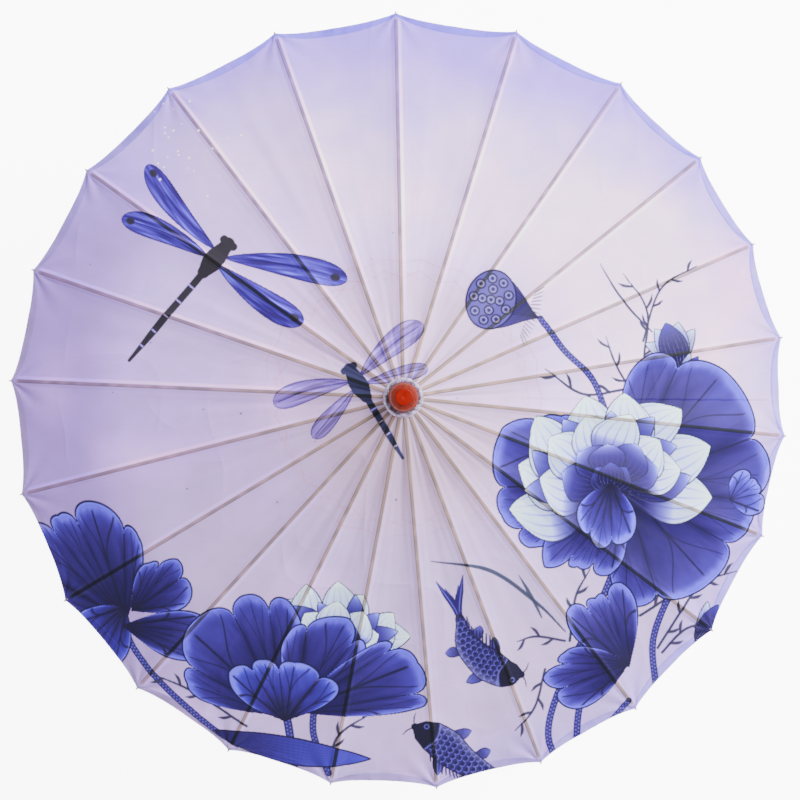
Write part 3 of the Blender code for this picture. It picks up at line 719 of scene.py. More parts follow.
def paint_upper_right(art):
    art.twig(((230, 130), (255, 90), (250, 40), (250, 0)), 2.2, 5, 15.0)
    art.twig(((310, 140), (270, 115), (250, 60)), 2.0, 5, 12.0)
    art.twig(((145, 30), (185, 5), (230, 10)), 2.4, 4, 15.0)
    art.twig(((210, 65), (220, 35), (240, 5)), 2.0, 3, 14.0)
    art.stroke(((205, 140), (230, 100), (260, 70)), 2.2, SLATE, 0.85, (0.2, 0.6))
    art.seed_head((90, 100), 31, 160, ((165, 50), (195, 20), (210, -15)))
    art.stem(((290, 40), (295, 20), (300, 0)), 4.5)
    art.bud((290, 30), (275, 80), 44)
    art.bud((285, 15), (310, 45), 20, 0)


def paint_right_leaf(art):
    for points in (((230, -150), (205, -215), (170, -290), (155, -350), (175, -395)),
                   ((255, -160), (225, -230), (190, -310), (185, -380)),
                   ((290, -180), (265, -250), (270, -315), (255, -350)),
                   ((345, -220), (290, -285), (260, -340))):
        art.stem(points, 7.2)
    art.stem(((240, -315), (220, -340), (205, -370)), 6.0)
    art.leaf((220, -85), 130, 118, 232, 4, 31, 1.0, 0, 0.12, 0.22)
    art.leaf((230, -90), 150, -104, 92, 6, 32, 1.02, 2, 0.13, 0.14)
    art.leaf((230, -90), 105, -176, -84, 4, 33, depth=0.14, soft=0.2)
    art.leaf((345, -105), 40, -50, 96, 3, 34, depth=0.16, soft=0.3,
             stops=((0.0, BLUE), (0.5, PERIWINKLE), (1.0, PALE_BLUE)))
    art.flower((215, -90), 110, 8, -4, 190, 58, 0.86, 5, 4)
    art.leaf((215, -85), 62, 206, 318, 3, 35, 1.0, 0, 0.14, 0.25,
             PALE_LEAF_RAMP)


def paint_folded_leaf(art):
    art.leaf((240, -280), 95, 78, 158, 3, 41, depth=0.16, soft=0.30)
    art.leaf((240, -275), 85, 152, 236, 3, 42, depth=0.18, soft=0.30)
    art.bud((310, -255), (335, -215), 26, 0)


def paint_lower_left(art):
    art.stem(((-290, -215), (-280, -255), (-245, -300), (-200, -340), (-170, -360)), 6.5)
    art.leaf((-285, -230), 106, -52, 78, 5, 51, 1.38, 112, 0.14, 0.25)
    art.leaf((-280, -220), 75, -4, 86, 3, 52, 1.0, 0, 0.16, 0.25)
    art.leaf((-285, -215), 68, 176, 282, 3, 53, 1.0, 0, 0.14, 0.3,
             ((0.0, NAVY), (0.35, BLUE), (1.0, PERIWINKLE)))
    art.leaf((-290, -235), 85, -44, 24, 3, 54, 1.15, 0, 0.16, 0.3)


def paint_lower_middle(art):
    art.twig(((-260, -285), (-215, -305), (-160, -340)), 2.4, 5, 13.0)
    art.twig(((-30, -325), (-65, -350), (-75, -390)), 2.4, 5, 13.0)
    art.stem(((-120, -320), (-115, -350), (-110, -395)), 8.5)
    art.stem(((-90, -320), (-90, -350), (-75, -390)), 7.0)
    art.flower((-70, -265), 80, 7, 14, 162, 40, 0.95, 5, 9)
    art.leaf((-120, -330), 132, 74, 172, 4, 61, 1.0, 0, 0.14, 0.16)
    art.leaf((-110, -330), 112, 34, 104, 3, 62, 1.0, 0, 0.13, 0.18)
    art.leaf((-115, -325), 158, -4, 46, 3, 63, 1.0, 0, 0.12, 0.30)
    art.leaf((-120, -335), 75, 26, 152, 4, 64, 1.25, 0, 0.16, 0.22,
             ((0.0, NAVY), (0.3, BLUE), (0.8, PERIWINKLE), (1.0, PALE_BLUE)))
    art.petal((-195, -345), (-30, -375), 30, -0.04, 0.5,
              ((0.0, DEEP), (0.5, (100, 108, 200)), (1.0, PERIWINKLE)), INK, 9.0, DEEP, 1.2)


def paint_fish(art):
    art.fish(((125, -285), (100, -280), (70, -255), (60, -225)), 36)
    art.fish(((15, -340), (40, -355), (70, -380), (105, -395)), 38)


def paint_grasses(art):
    art.stroke(((30, -165), (90, -175), (140, -210), (170, -240)), 4.0, (92, 106, 140), 0.85, (0.2, 0.3))
    art.stroke(((120, -180), (135, -205), (145, -225)), 3.4, (92, 106, 140), 0.8, (0.2, 0.4))
    art.twig(((355, -180), (300, -195), (250, -225)), 2.8, 5, 14.0)
    art.twig(((330, -185), (305, -205), (270, -260)), 2.6, 4, 13.0)
    art.twig(((120, -250), (140, -245), (170, -250)), 2.4, 3, 13.0)
    art.twig(((195, -175), (180, -205), (175, -250)), 2.6, 4, 13.0)
    art.twig(((120, -345), (140, -320), (150, -280)), 2.4, 4, 13.0)
    art.twig(((330, -235), (300, -240), (275, -265)), 2.6, 4, 13.0)


def paint_garden(art):
    """Back to front."""
    paint_grasses(art)
    paint_upper_right(art)
    paint_right_leaf(art)
    paint_folded_leaf(art)
    paint_lower_left(art)
    paint_lower_middle(art)
    paint_fish(art)
    paint_dragonflies(art)


# ---------------------------------------------------------------- end of the print
COOL_AZIMUTH = 2.2  # towards the side where the ribs show bluer, with a stronger painted highlight stripe


def paint_ribs(colour, x, y, rib_of):
    """The ribs show through the cloth as narrow bands, warmer near the shaft, that are partly their painted
    shadow.
    Each has a thin painted shade line along the side away from the light, and a broad painted highlight
    stripe beside it on the other side."""
    for rib, azimuth in enumerate(AZIMUTHS):
        here = np.flatnonzero(rib_of == rib)
        side = y[here] * math.cos(azimuth) - x[here] * math.sin(azimuth)
        away = np.abs(side)
        radius = np.hypot(x[here], y[here])
        ends = smoothstep(404.0, 398.0, radius)
        band = smoothstep(2.25, 1.5, away) * ends
        pale = smoothstep(120.0, 175.0, colour[here].min(1))[:, None]
        facing = math.cos(azimuth - COOL_AZIMUTH)
        cool = smoothstep(50.0, 240.0, radius) * (0.55 + 0.45 * facing)
        # The bands are partly the ribs seen through the cloth and partly their painted shadow, much darker
        # over dark print.
        tint = between((0.90, 0.86, 0.79), (0.88, 0.835, 0.87), cool)
        tint = 0.44 * (1.0 - pale) + tint * pale
        shaded = 1.0 if math.sin(LIGHT_AZIMUTH - azimuth) < 0 else -1.0
        # Painted shade: a thin dark line along each rib on the side away from the light.
        line = smoothstep(0.8, 0.2, np.abs(side * shaded - 1.5)) * ends * (0.6 + 0.4 * pale[:, 0])
        streak = 1.0 + 0.06 * lattice_noise(radius / 9.0, away * 0 + rib * 3.7, SEED + 7) - 0.16 * line
        share = band[:, None]
        colour[here] *= 1.0 - share + share * tint * streak[:, None]
        # Painted highlight: a pale stripe beside each rib on the side towards the light.
        lit = smoothstep(1.8, 2.6, -side * shaded) * smoothstep(7.0, 4.0, -side * shaded)
        lit *= ends * smoothstep(60.0, 160.0, radius) * (0.5 + 0.5 * facing)
        colour[here] *= 1.0 + 0.055 * lit[:, None] * pale


def paint_threads(colour, x, y):
    """Faint pink lines where the thread web behind the cloth shows through, partly painted shadow of the
    threads.
    """
    angle = np.arctan2(y, x)
    radius = np.hypot(x, y)
    for k, (at, sway) in enumerate(((121.0, 9.0), (129.0, -8.0), (137.0, 5.0))):
        zigzag = np.abs((angle * RIBS / (2 * math.pi)) % 1.0 - 0.5) * 2.0
        # Partly the threads' colour and partly their painted shadow through the cloth.
        shown = smoothstep(1.1, 0.2, np.abs(radius - at - sway * zigzag)) * 0.34
        shown *= np.clip(0.55 + 0.55 * cloudy(x, y, 60.0, SEED + 20 + k, 2), 0.0, 1.0)
        shown *= colour.min(1) > 150
        colour[:] = between(colour, (214, 186, 202), shown)


def paint_hem(colour, x, y, depth, seam):
    """The turned-in hem is two layers thick: greyer at the left, bluer at the right and top, with a seam."""
    angle = np.arctan2(y, x)
    band = smoothstep(seam + 0.5, seam - 0.5, depth)
    light = smoothstep(0.60, 0.80, colour.mean(1) / 255.0)
    rightward = 0.5 + 0.5 * np.cos(angle - 0.4)
    hue = between((190, 178, 206), (204, 204, 242), rightward)
    hue = between(hue, (172, 170, 228), np.clip(np.sin(angle), 0.0, 1.0) ** 2)
    streak = cloudy(x, y, 26.0, SEED + 30, 3)
    colour[:] = between(colour, hue, band * light * (0.56 + 0.40 * streak))
    fold = smoothstep(0.9, 0.2, np.abs(depth - seam)) * light
    colour[:] = between(colour, (160, 158, 214), fold * (0.30 + 0.10 * np.cos(angle - 0.8)))
    edge = smoothstep(1.6, 0.4, depth)
    colour[:] = between(colour, (224, 218, 240), edge * 0.45)


def paint_specks(colour, x, y):
    """A scatter of small worn white specks in the upper left, and a few dark ones anywhere."""
    rng = np.random.default_rng(SEED + 40)
    specks = [(-228 + rng.normal(0, 26), 268 + rng.normal(0, 24), rng.uniform(0.5, 1.3), (250, 248, 252))
              for _ in range(26)]
    specks += [(rng.uniform(-330, 60), rng.uniform(-120, 200), rng.uniform(0.3, 0.8), (86, 88, 170))
               for _ in range(14)]
    for sx, sy, size, shade in specks:
        near = (np.abs(x - sx) < 3) & (np.abs(y - sy) < 3)
        away = np.hypot(x[near] - sx, y[near] - sy)
        colour[near] = between(colour[near], shade, smoothstep(size + 0.5, size - 0.2, away) * 0.8)


def albedo(colour):
    """The surface colour (linear) that shows a print colour under the studio light, once the view has
    softened it. The view's tone curve is close to a power of c / (1 - c), and it pales strong blues."""
    c = np.clip(np.asarray(colour, float) / 255.0, 0.02, 0.97)
    red, green, blue = c[:, 0], c[:, 1], c[:, 2]
    cool = np.clip(blue - green, 0.0, 1.0)
    green = green - 1.3 * cool ** 1.5 * blue ** 2
    red = red - 0.8 * np.clip(blue - red, 0.0, 1.0) * np.clip(blue - 0.7, 0.0, 1.0)
    blue = blue - 0.1 * cool
    c = np.clip(np.stack([red, green, blue], -1), 0.01, 0.985)
    shown = TONE_SCALE * (c / (1.0 - c)) ** TONE_POWER
    return np.clip(shown / STUDIO_LIGHT, 0.002, 0.95)


# ---------------------------------------------------------------- materials
class Nodes:
    """A short way to build a material's nodes."""

    def __init__(self, name, roughness, metallic=0.0, **constants):
        self.material = bpy.data.materials.new(name)
        self.material.use_nodes = True
        self.tree = self.material.node_tree
        self.shader = self.tree.nodes["Principled BSDF"]
        self.shader.inputs["Roughness"].default_value = roughness
        self.shader.inputs["Metallic"].default_value = metallic
        for key, value in constants.items():
            self.shader.inputs[key.replace("_", " ")].default_value = value

    def put(self, socket, value):
        """Sets a socket to a value, or links another node's output to it."""
        if isinstance(value, bpy.types.NodeSocket):
            self.tree.links.new(value, socket)
        else:
            socket.default_value = value

    def add(self, kind, inputs=(), **settings):
        """A new node with its inputs, each a value or another node's output, and its settings."""
        node = self.tree.nodes.new(kind)
        for key, value in settings.items():
            setattr(node, key, value)
        for key, value in dict(inputs).items():
            self.put(node.inputs[key], value)
        return node

    def place(self, scale=(1.0, 1.0, 1.0)):
        """Object coordinates in metres, times a scale for each axis."""
        where = self.add("ShaderNodeTexCoord").outputs["Object"]
        return self.add("ShaderNodeMapping", {"Vector": where, "Scale": scale}).outputs["Vector"]

    def from_axis(self):
        """A point's distance from the shaft's axis, and its height."""
        where = self.add("ShaderNodeTexCoord").outputs["Object"]
        axis = self.add("ShaderNodeSeparateXYZ", {"Vector": where}).outputs
        flat = self.add("ShaderNodeCombineXYZ", {"X": axis["X"], "Y": axis["Y"]}).outputs["Vector"]
        return self.add("ShaderNodeVectorMath", {0: flat}, operation="LENGTH").outputs["Value"], axis["Z"]

    def noise(self, scale, detail=3.0, stretch=(1.0, 1.0, 1.0), roughness=0.55):
        inputs = {"Vector": self.place(stretch), "Scale": scale, "Detail": detail, "Roughness": roughness}
        return self.add("ShaderNodeTexNoise", inputs).outputs["Fac"]

    def wave(self, scale, stretch=(1.0, 1.0, 1.0), direction="X", distortion=0.0):
        inputs = {"Vector": self.place(stretch), "Scale": scale, "Distortion": distortion}
        return self.add("ShaderNodeTexWave", inputs, bands_direction=direction).outputs["Fac"]

    def math(self, operation, a, b=0.5):
        return self.add("ShaderNodeMath", {0: a, 1: b}, operation=operation).outputs[0]

    def spread(self, value, low=0.3, high=0.7, out_low=0.0, out_high=1.0):
        """A value's range from low to high, spread over another."""
        return self.add("ShaderNodeMapRange", {"Value": value, "From Min": low, "From Max": high,
                                               "To Min": out_low, "To Max": out_high}).outputs["Result"]

    def mix(self, share, a, b, blend="MIX"):
        node = self.add("ShaderNodeMix", data_type="RGBA", blend_type=blend)
        self.put(node.inputs[0], share)
        for socket, value in ((node.inputs[6], a), (node.inputs[7], b)):
            self.put(socket, value if isinstance(value, bpy.types.NodeSocket) else (*value, 1.0))
        return node.outputs[2]

    def over(self, colour, tint, value, low, high, strength):
        """A tint over a colour, up to its strength where a value goes from low to high."""
        return self.mix(self.spread(value, low, high, 0.0, strength), colour, tint)

    def bump(self, height, distance, strength=1.0):
        node = self.add("ShaderNodeBump", {"Height": height, "Distance": distance, "Strength": strength})
        self.put(self.shader.inputs["Normal"], node.outputs["Normal"])

    def finish(self, colour, roughness=None):
        self.put(self.shader.inputs["Base Color"], colour)
        if roughness is not None:
            self.put(self.shader.inputs["Roughness"], roughness)
        return self.material


def darker(colour, share):
    return tuple(value * share for value in colour)


def cloth_material():
    """Printed silk: a fine weave with slubs, and a soft sheen."""
    n = Nodes("printed_silk", 0.60, Sheen_Weight=0.05, Sheen_Roughness=0.45, Specular_IOR_Level=0.14)
    print_colour = n.add("ShaderNodeAttribute", attribute_name="print").outputs["Color"]
    weft = n.wave(420.0, direction="X")
    warp = n.wave(420.0, direction="Y")
    weave = n.math("MULTIPLY", weft, warp)
    slub = n.noise(70.0, 4.0, (1.0, 9.0, 1.0))
    mottle = n.noise(26.0, 4.0)
    shade = n.spread(slub, 0.3, 0.7, 0.975, 1.02)
    shade = n.math("MULTIPLY", shade, n.spread(mottle, 0.3, 0.7, 0.97, 1.02))
    grey = n.add("ShaderNodeCombineColor", {"Red": shade, "Green": shade, "Blue": shade}).outputs["Color"]
    colour = n.mix(1.0, print_colour, grey, "MULTIPLY")
    height = n.math("ADD", n.math("MULTIPLY", weave, 0.35), n.math("MULTIPLY", slub, 0.9))
    n.bump(height, 0.00025, 0.35)
    return n.finish(colour, n.spread(mottle, 0.3, 0.7, 0.52, 0.64))


def bamboo_material(name, light, dark, roughness, along="X"):
    """Split or round bamboo: long fibres, faint blotches and a darker node here and there."""
    n = Nodes(name, roughness, Specular_IOR_Level=0.45, Coat_Weight=0.08, Coat_Roughness=0.35)
    thin, slow = 900.0, 14.0
    stretch = {"X": (slow, thin, thin), "Z": (thin, thin, slow)}[along]
    fibre = n.noise(1.0, 5.0, stretch)
    broad = n.noise(1.0, 3.0, tuple(v / 6.0 for v in stretch))
    blotch = n.noise(38.0, 3.0)
    ring = n.wave(1.35 if along == "X" else 1.05, direction=along)
    ring = n.spread(ring, 0.985, 1.0)
    colour = n.mix(n.spread(fibre, 0.35, 0.68), dark, light)
    colour = n.over(colour, darker(dark, 0.62), broad, 0.35, 0.75, 0.45)
    colour = n.over(colour, darker(light, 1.12), blotch, 0.5, 0.8, 0.4)
    colour = n.mix(n.math("MULTIPLY", ring, 0.65), colour, darker(dark, 0.45))
    n.bump(n.math("ADD", fibre, n.math("MULTIPLY", ring, 1.4)), 0.00018, 0.6)
    return n.finish(colour, n.spread(fibre, 0.3, 0.7, roughness + 0.10, roughness - 0.06))


def wood_material(name, light, dark, roughness, coat=0.0):
    """Turned wood: grain along the axis, fine pores and turning marks."""
    n = Nodes(name, roughness, Coat_Weight=coat, Coat_Roughness=0.18, Specular_IOR_Level=0.45)
    grain = n.noise(1.0, 6.0, (420.0, 420.0, 26.0), 0.6)
    figure = n.wave(34.0, (1.0, 1.0, 0.16), "X", 6.0)
    pores = n.noise(1.0, 2.0, (1600.0, 1600.0, 130.0))
    turning = n.noise(1.0, 2.0, (1.0, 1.0, 1800.0))
    colour = n.mix(n.spread(grain), dark, light)
    colour = n.mix(n.math("MULTIPLY", figure, 0.35), colour, dark)
    colour = n.over(colour, darker(dark, 0.4), pores, 0.62, 0.72, 0.55)
    n.bump(n.math("ADD", n.math("MULTIPLY", pores, 0.7), n.math("MULTIPLY", turning, 0.5)), 0.00012, 0.6)
    return n.finish(colour, n.spread(grain, 0.3, 0.7, roughness + 0.08, roughness - 0.05))


def lacquer_material():
    """Orange-red gloss lacquer over turned wood, brushed unevenly, with painted shade in the groove round its
    top.
    """
    n = Nodes("red_lacquer", 0.30, Coat_Weight=0.05, Coat_Roughness=0.12, Specular_IOR_Level=0.10)
    cloud = n.noise(210.0, 4.0)
    speck = n.noise(1500.0, 2.0)
    radius, height = n.from_axis()
    high = n.spread(height, FINIAL_TOP - 0.0110, FINIAL_TOP - 0.0040)
    colour = n.mix(high, (0.012, 0.0006, 0.0002), (0.135, 0.0085, 0.0022))
    disc = n.spread(radius, KNOB_DISC, KNOB_DISC - 0.0010)
    colour = n.mix(disc, colour, (0.185, 0.0040, 0.0001))
    # Painted shade in the groove round the flat top.
    painted_groove_shade = n.spread(n.math("ABSOLUTE", n.math("SUBTRACT", radius, KNOB_DISC)), 0.0, 0.0010, 0.85, 0.0)
    colour = n.mix(painted_groove_shade, colour, (0.040, 0.0012, 0.0004))
    colour = n.over(colour, (0.260, 0.012, 0.0008), cloud, 0.45, 0.75, 0.45)
    colour = n.over(colour, (0.025, 0.0012, 0.0004), speck, 0.66, 0.74, 0.5)
    n.bump(n.math("ADD", cloud, n.math("MULTIPLY", speck, 0.25)), 0.0003, 0.5)
    return n.finish(colour, n.spread(cloud, 0.3, 0.7, 0.24, 0.38))


def paper_material():
    """Glued white paper: fibres, creases, a dark ring round its hole, partly a glue stain and partly painted
    shade, and painted shade from the knob over its inner part.
    """
    n = Nodes("collar_paper", 0.76, Specular_IOR_Level=0.2)
    fibre = n.noise(700.0, 5.0)
    stain = n.noise(230.0, 3.0)
    radius, _ = n.from_axis()
    # The dark ring round the hole: partly a glue stain and partly painted shade in the crevice by the knob.
    inner = n.math("MULTIPLY", n.spread(radius, 0.0184, 0.0160), n.spread(stain, 0.41, 0.52, 0.0, 1.0))
    colour = n.mix(n.spread(fibre), (0.42, 0.33, 0.56), (0.60, 0.49, 0.86))
    colour = n.over(colour, (0.18, 0.13, 0.165), stain, 0.43, 0.58, 0.80)
    # Painted shade from the knob: darker towards the hole.
    colour = n.over(colour, (0.19, 0.14, 0.17), radius, 0.0200, 0.0172, 0.40)
    colour = n.mix(n.math("MULTIPLY", inner, 0.92), colour, (0.055, 0.040, 0.050))
    n.bump(n.math("ADD", n.math("MULTIPLY", fibre, 0.4), stain), 0.0014, 1.0)
    return n.finish(colour, n.spread(fibre, 0.3, 0.7, 0.70, 0.84))


def thread_material(name, colour):
    """Twisted cotton."""
    n = Nodes(name, 0.85, Sheen_Weight=0.3, Sheen_Roughness=0.5)
    fuzz = n.noise(2600.0, 3.0)
    tone = n.noise(60.0, 2.0)
    mixed = n.mix(n.spread(fuzz), darker(colour, 0.62), colour)
    mixed = n.over(mixed, darker(colour, 0.8), tone, 0.4, 0.7, 0.4)
    n.bump(fuzz, 0.0002, 0.7)
    return n.finish(mixed)


def metal_material(name, colour, roughness):
    """Drawn or turned metal with fine scratches and dull patches."""
    n = Nodes(name, roughness, 1.0)
    scratch = n.noise(1.0, 4.0, (300.0, 300.0, 2200.0))
    dull = n.noise(180.0, 4.0)
    mixed = n.over(colour, darker(colour, 0.45), dull, 0.4, 0.75, 0.55)
    n.bump(scratch, 0.00005, 0.5)
    return n.finish(mixed, n.spread(scratch, 0.3, 0.7, roughness - 0.08, roughness + 0.14))


def floor_material():
    """A plain pale floor that glows like a studio table lit from behind, but glows less under the umbrella.
    """
    n = Nodes("floor", 0.9, Specular_IOR_Level=0.1, Emission_Color=(1.0, 1.0, 1.0, 1.0))
    away, _ = n.from_axis()
    # The floor's glow is emission in its own material.
    near = n.spread(away, GLOW_FROM, GLOW_FULL, GLOW_UNDER, FLOOR_GLOW)
    far = n.spread(away, GLOW_FADES_FROM, GLOW_FADES_TO, 1.0, GLOW_FAR_SHARE)
    n.put(n.shader.inputs["Emission Strength"], n.math("MULTIPLY", near, far))
    grain = n.noise(6.0, 3.0)
    return n.finish(n.mix(grain, (0.90, 0.90, 0.90), (0.93, 0.93, 0.93)))


# ---------------------------------------------------------------- pieces
def link(obj):
    bpy.context.scene.collection.objects.link(obj)
    return obj


def numbered(kind, rib):
    return f"{kind}_{rib + 1:02d}"


def piece(name, mesh, material, body, replaced=(), matrix=None):
    """A new piece on a body, standing for the CAD nodes that it replaces, in place or moved by a matrix."""
    obj = link(bpy.data.objects.new(name, mesh))
    if not mesh.materials:
        mesh.materials.append(material)
    if matrix:
        obj.matrix_world = matrix
    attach(obj, body)
    if replaced:
        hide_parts(*replaced)
    return obj


def rounded(profile, radius, steps=3):
    """A profile of (radius, height) pairs with its corners rounded off by arcs of a quadratic curve."""
    out = [profile[0]]
    for before, corner, after in zip(profile, profile[1:], profile[2:]):
        a, b, c = (np.array(p, float) for p in (before, corner, after))
        cut_a = min(radius, np.linalg.norm(a - b) * 0.45)
        cut_c = min(radius, np.linalg.norm(c - b) * 0.45)
        p, q = b + (a - b) / np.linalg.norm(a - b) * cut_a, b + (c - b) / np.linalg.norm(c - b) * cut_c
        for k in range(steps + 1):
            t = k / steps
            out.append(tuple(p * (1 - t) ** 2 + b * 2 * t * (1 - t) + q * t * t))
    return out + [profile[-1]]


def lathe_mesh(name, profile, segments, shape=None):
    """A turned mesh from (radius, height) pairs. shape(angle, radius, height) may move a point."""
    mesh = bmesh.new()
    rings = []
    for radius, height in profile:
        if radius < 1e-6:
            rings.append([mesh.verts.new((0.0, 0.0, height))])
            continue
        ring = []
        for k in range(segments):
            angle = 2 * math.pi * k / segments
            r, z = shape(angle, radius, height) if shape else (radius, height)
            ring.append(mesh.verts.new((r * math.cos(angle), r * math.sin(angle), z)))
        rings.append(ring)
    for low, high in zip(rings, rings[1:]):
        for k in range(segments):
            j = (k + 1) % segments
            corners = [low[k % len(low)], low[j % len(low)], high[j % len(high)], high[k % len(high)]]
            kept = [corner for i, corner in enumerate(corners) if corner not in corners[:i]]
            if len(kept) > 2:
                mesh.faces.new(kept)
    return mesh_of(mesh, name, 50)


def turned(name, profile, material, node, segments=72, shape=None):
    """A turned piece in place of one CAD node that stands still."""
    piece(name, lathe_mesh(name, profile, segments, shape), material, "root", (node,))


def tube(mesh, line, radius, sides=6, closed=False):
    """Adds a tube along a line of points to a bmesh."""
    rings = []
    count = len(line)
    for k, point in enumerate(line):
        ahead = line[(k + 1) % count] if closed or k < count - 1 else point
        behind = line[k - 1] if closed or k else point
        forward = (Vector(ahead) - Vector(behind)).normalized()
        side = forward.cross(Vector((0.0, 0.0, 1.0)))
        if side.length <= 0.05:
            side = forward.cross(Vector((1.0, 0.0, 0.0)))
        side = side.normalized()
        up = side.cross(forward)
        rings.append([mesh.verts.new(Vector(point) + side * math.cos(t) * radius + up * math.sin(t) * radius)
                      for t in (2 * math.pi * i / sides for i in range(sides))])
    pairs = list(zip(rings, rings[1:] + rings[:1])) if closed else list(zip(rings, rings[1:]))
    for low, high in pairs:
        for i in range(sides):
            j = (i + 1) % sides
            mesh.faces.new((low[i], low[j], high[j], high[i]))
    if not closed:
        mesh.faces.new(rings[0])
        mesh.faces.new(rings[-1])


def mesh_of(mesh, name, sharp=None):
    """A smooth mesh from a bmesh, with edges sharper than an angle (degrees) kept sharp."""
    bmesh.ops.recalc_face_normals(mesh, faces=mesh.faces[:])
    data = bpy.data.meshes.new(name)
    mesh.to_mesh(data)
    mesh.free()
    data.shade_smooth()
    if sharp:
        data.set_sharp_from_angle(angle=math.radians(sharp))
    return data


def hinge_matrix(rib):
    """A rib's own frame: +X along it from its hinge, +Z up through the cloth."""
    return Matrix.Translation(HINGES[rib]) @ Matrix.Rotation(AZIMUTHS[rib], 4, "Z") @ Matrix.Rotation(
        math.atan(DROP), 4, "Y")


def softened_copy(node, name, frame_matrix, bevel):
    """A CAD node's mesh in its own frame, with flat faces merged and edges rounded."""
    source = bpy.data.objects[node]
    mesh = bmesh.new()
    mesh.from_mesh(source.data)
    mesh.transform(frame_matrix.inverted() @ source.matrix_world)
    bmesh.ops.remove_doubles(mesh, verts=mesh.verts[:], dist=1e-6)
    bmesh.ops.dissolve_limit(mesh, angle_limit=math.radians(1.0), verts=mesh.verts[:], edges=mesh.edges[:])
    sharp = [e for e in mesh.edges if len(e.link_faces) == 2 and e.calc_face_angle(0.0) > math.radians(40)]
    bmesh.ops.bevel(mesh, geom=sharp, offset=bevel, offset_type="OFFSET", segments=2, profile=0.6,
                    affect="EDGES", clamp_overlap=True)
    return mesh_of(mesh, name, 45)


# ---------------------------------------------------------------- the cover
def vertex_normals(points, faces):
    """Area-weighted normals at a mesh's points."""
    a, b, c = points[faces[:, 0]], points[faces[:, 1]], points[faces[:, 2]]
    flat = np.cross(b - a, c - a)
    total = np.zeros_like(points)
    for k in range(3):
        np.add.at(total, faces[:, k], flat)
    return total


def make_cover(material):
    """22 strips of one surface, with shared normals along the middle of each gore."""
    strips = [strip_mesh(rib) for rib in range(RIBS)]
    normals = [vertex_normals(points, faces) for points, _, _, faces in strips]
    for rib in range(RIBS):
        after = (rib + 1) % RIBS
        right = np.flatnonzero(strips[rib][2] >= 1.0)
        left = np.flatnonzero(strips[after][2] <= -1.0)
        shared = normals[rib][right] + normals[after][left]
        normals[rib][right] = shared
        normals[after][left] = shared
    x, y, _ = np.concatenate([points for points, *_ in strips]).T * 1000.0
    depth = (COVER_OUTER - np.concatenate([reach for _, reach, *_ in strips])) * 1000.0
    seam = hem_width(np.concatenate([across for _, _, across, _ in strips])) * 1000.0
    rib_of = np.concatenate([np.full(len(points), rib) for rib, (points, *_) in enumerate(strips)])
    art = Print(x, y)
    paint_garden(art)
    paint_threads(art.colour, x, y)
    paint_ribs(art.colour, x, y, rib_of)
    paint_hem(art.colour, x, y, depth, seam)
    paint_specks(art.colour, x, y)
    colour = albedo(art.colour)
    first = 0
    for rib, (points, _, _, faces) in enumerate(strips):
        name = numbered("cover", rib)
        mesh = mesh_from_arrays(name, points, faces)
        paint = mesh.attributes.new("print", "FLOAT_COLOR", "POINT")
        rows = np.ones((len(points), 4), np.float32)
        rows[:, :3] = colour[first:first + len(points)]
        paint.data.foreach_set("color", rows.ravel())
        first += len(points)
        facing = normals[rib] / np.linalg.norm(normals[rib], axis=1, keepdims=True)
        mesh.normals_split_custom_set_from_vertices(facing.tolist())
        strip = piece(name, mesh, material, numbered("rib", rib), ("canopy",))
        fold(strip, rib)


def fold(obj, rib):
    """A soft piece of one rib's share gets its own copy of its mesh."""
    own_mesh(obj)


# ---------------------------------------------------------------- what holds the cover
def make_threads(material):
    """A web of thread behind the cloth: each rib's share runs from the middle of one gore to the next."""
    rounds = ((0.1180, 0.1270), (0.1285, 0.1195), (0.1360, 0.1410))
    behind_cloth = 0.0011
    below_rib = 2.0 * RIB_TOP + 0.0013
    for rib in range(RIBS):
        mesh = bmesh.new()
        for at_rib, at_middle in rounds:
            across = np.linspace(-1.0, 1.0, 25)
            reach = at_rib + (at_middle - at_rib) * np.abs(across)
            line = cover_points(rib, reach, across)
            line[:, 2] -= behind_cloth + below_rib * smoothstep(0.30, 0.10, np.abs(across))
            tube(mesh, line.tolist(), WEB_THREAD, 6)
        name = numbered("threads", rib)
        web = piece(name, mesh_of(mesh, name), material, numbered("rib", rib), ("thread_ring",))
        fold(web, rib)


def make_tip_bindings(material):
    """Each rib's end is lashed to the cloth with a few turns of thread."""
    length = (TIP_RADIUS - HINGE_RADIUS) * math.sqrt(1 + DROP * DROP)
    for rib in range(RIBS):
        mesh = bmesh.new()
        for turn in range(4):
            at = length - 0.0064 + 0.00075 * turn
            wide, high = 0.0026 - 0.00018 * turn, 0.0024 - 0.0001 * turn
            ring = [(at + 0.0002 * math.sin(a), wide * math.cos(a), 0.0006 + high * math.sin(a))
                    for a in (2 * math.pi * k / 18 for k in range(18))]
            tube(mesh, ring, LASHING_THREAD, 6, True)
        tube(mesh, [(length - 0.0042, 0.0012, 0.0024), (length - 0.0034, 0.0003, 0.0029),
                    (length - 0.0027, -0.0008, 0.0024)], 0.0005, 6)
        mesh.transform(hinge_matrix(rib))
        name = numbered("tip_binding", rib)
        piece(name, mesh_of(mesh, name), material, numbered("rib", rib))


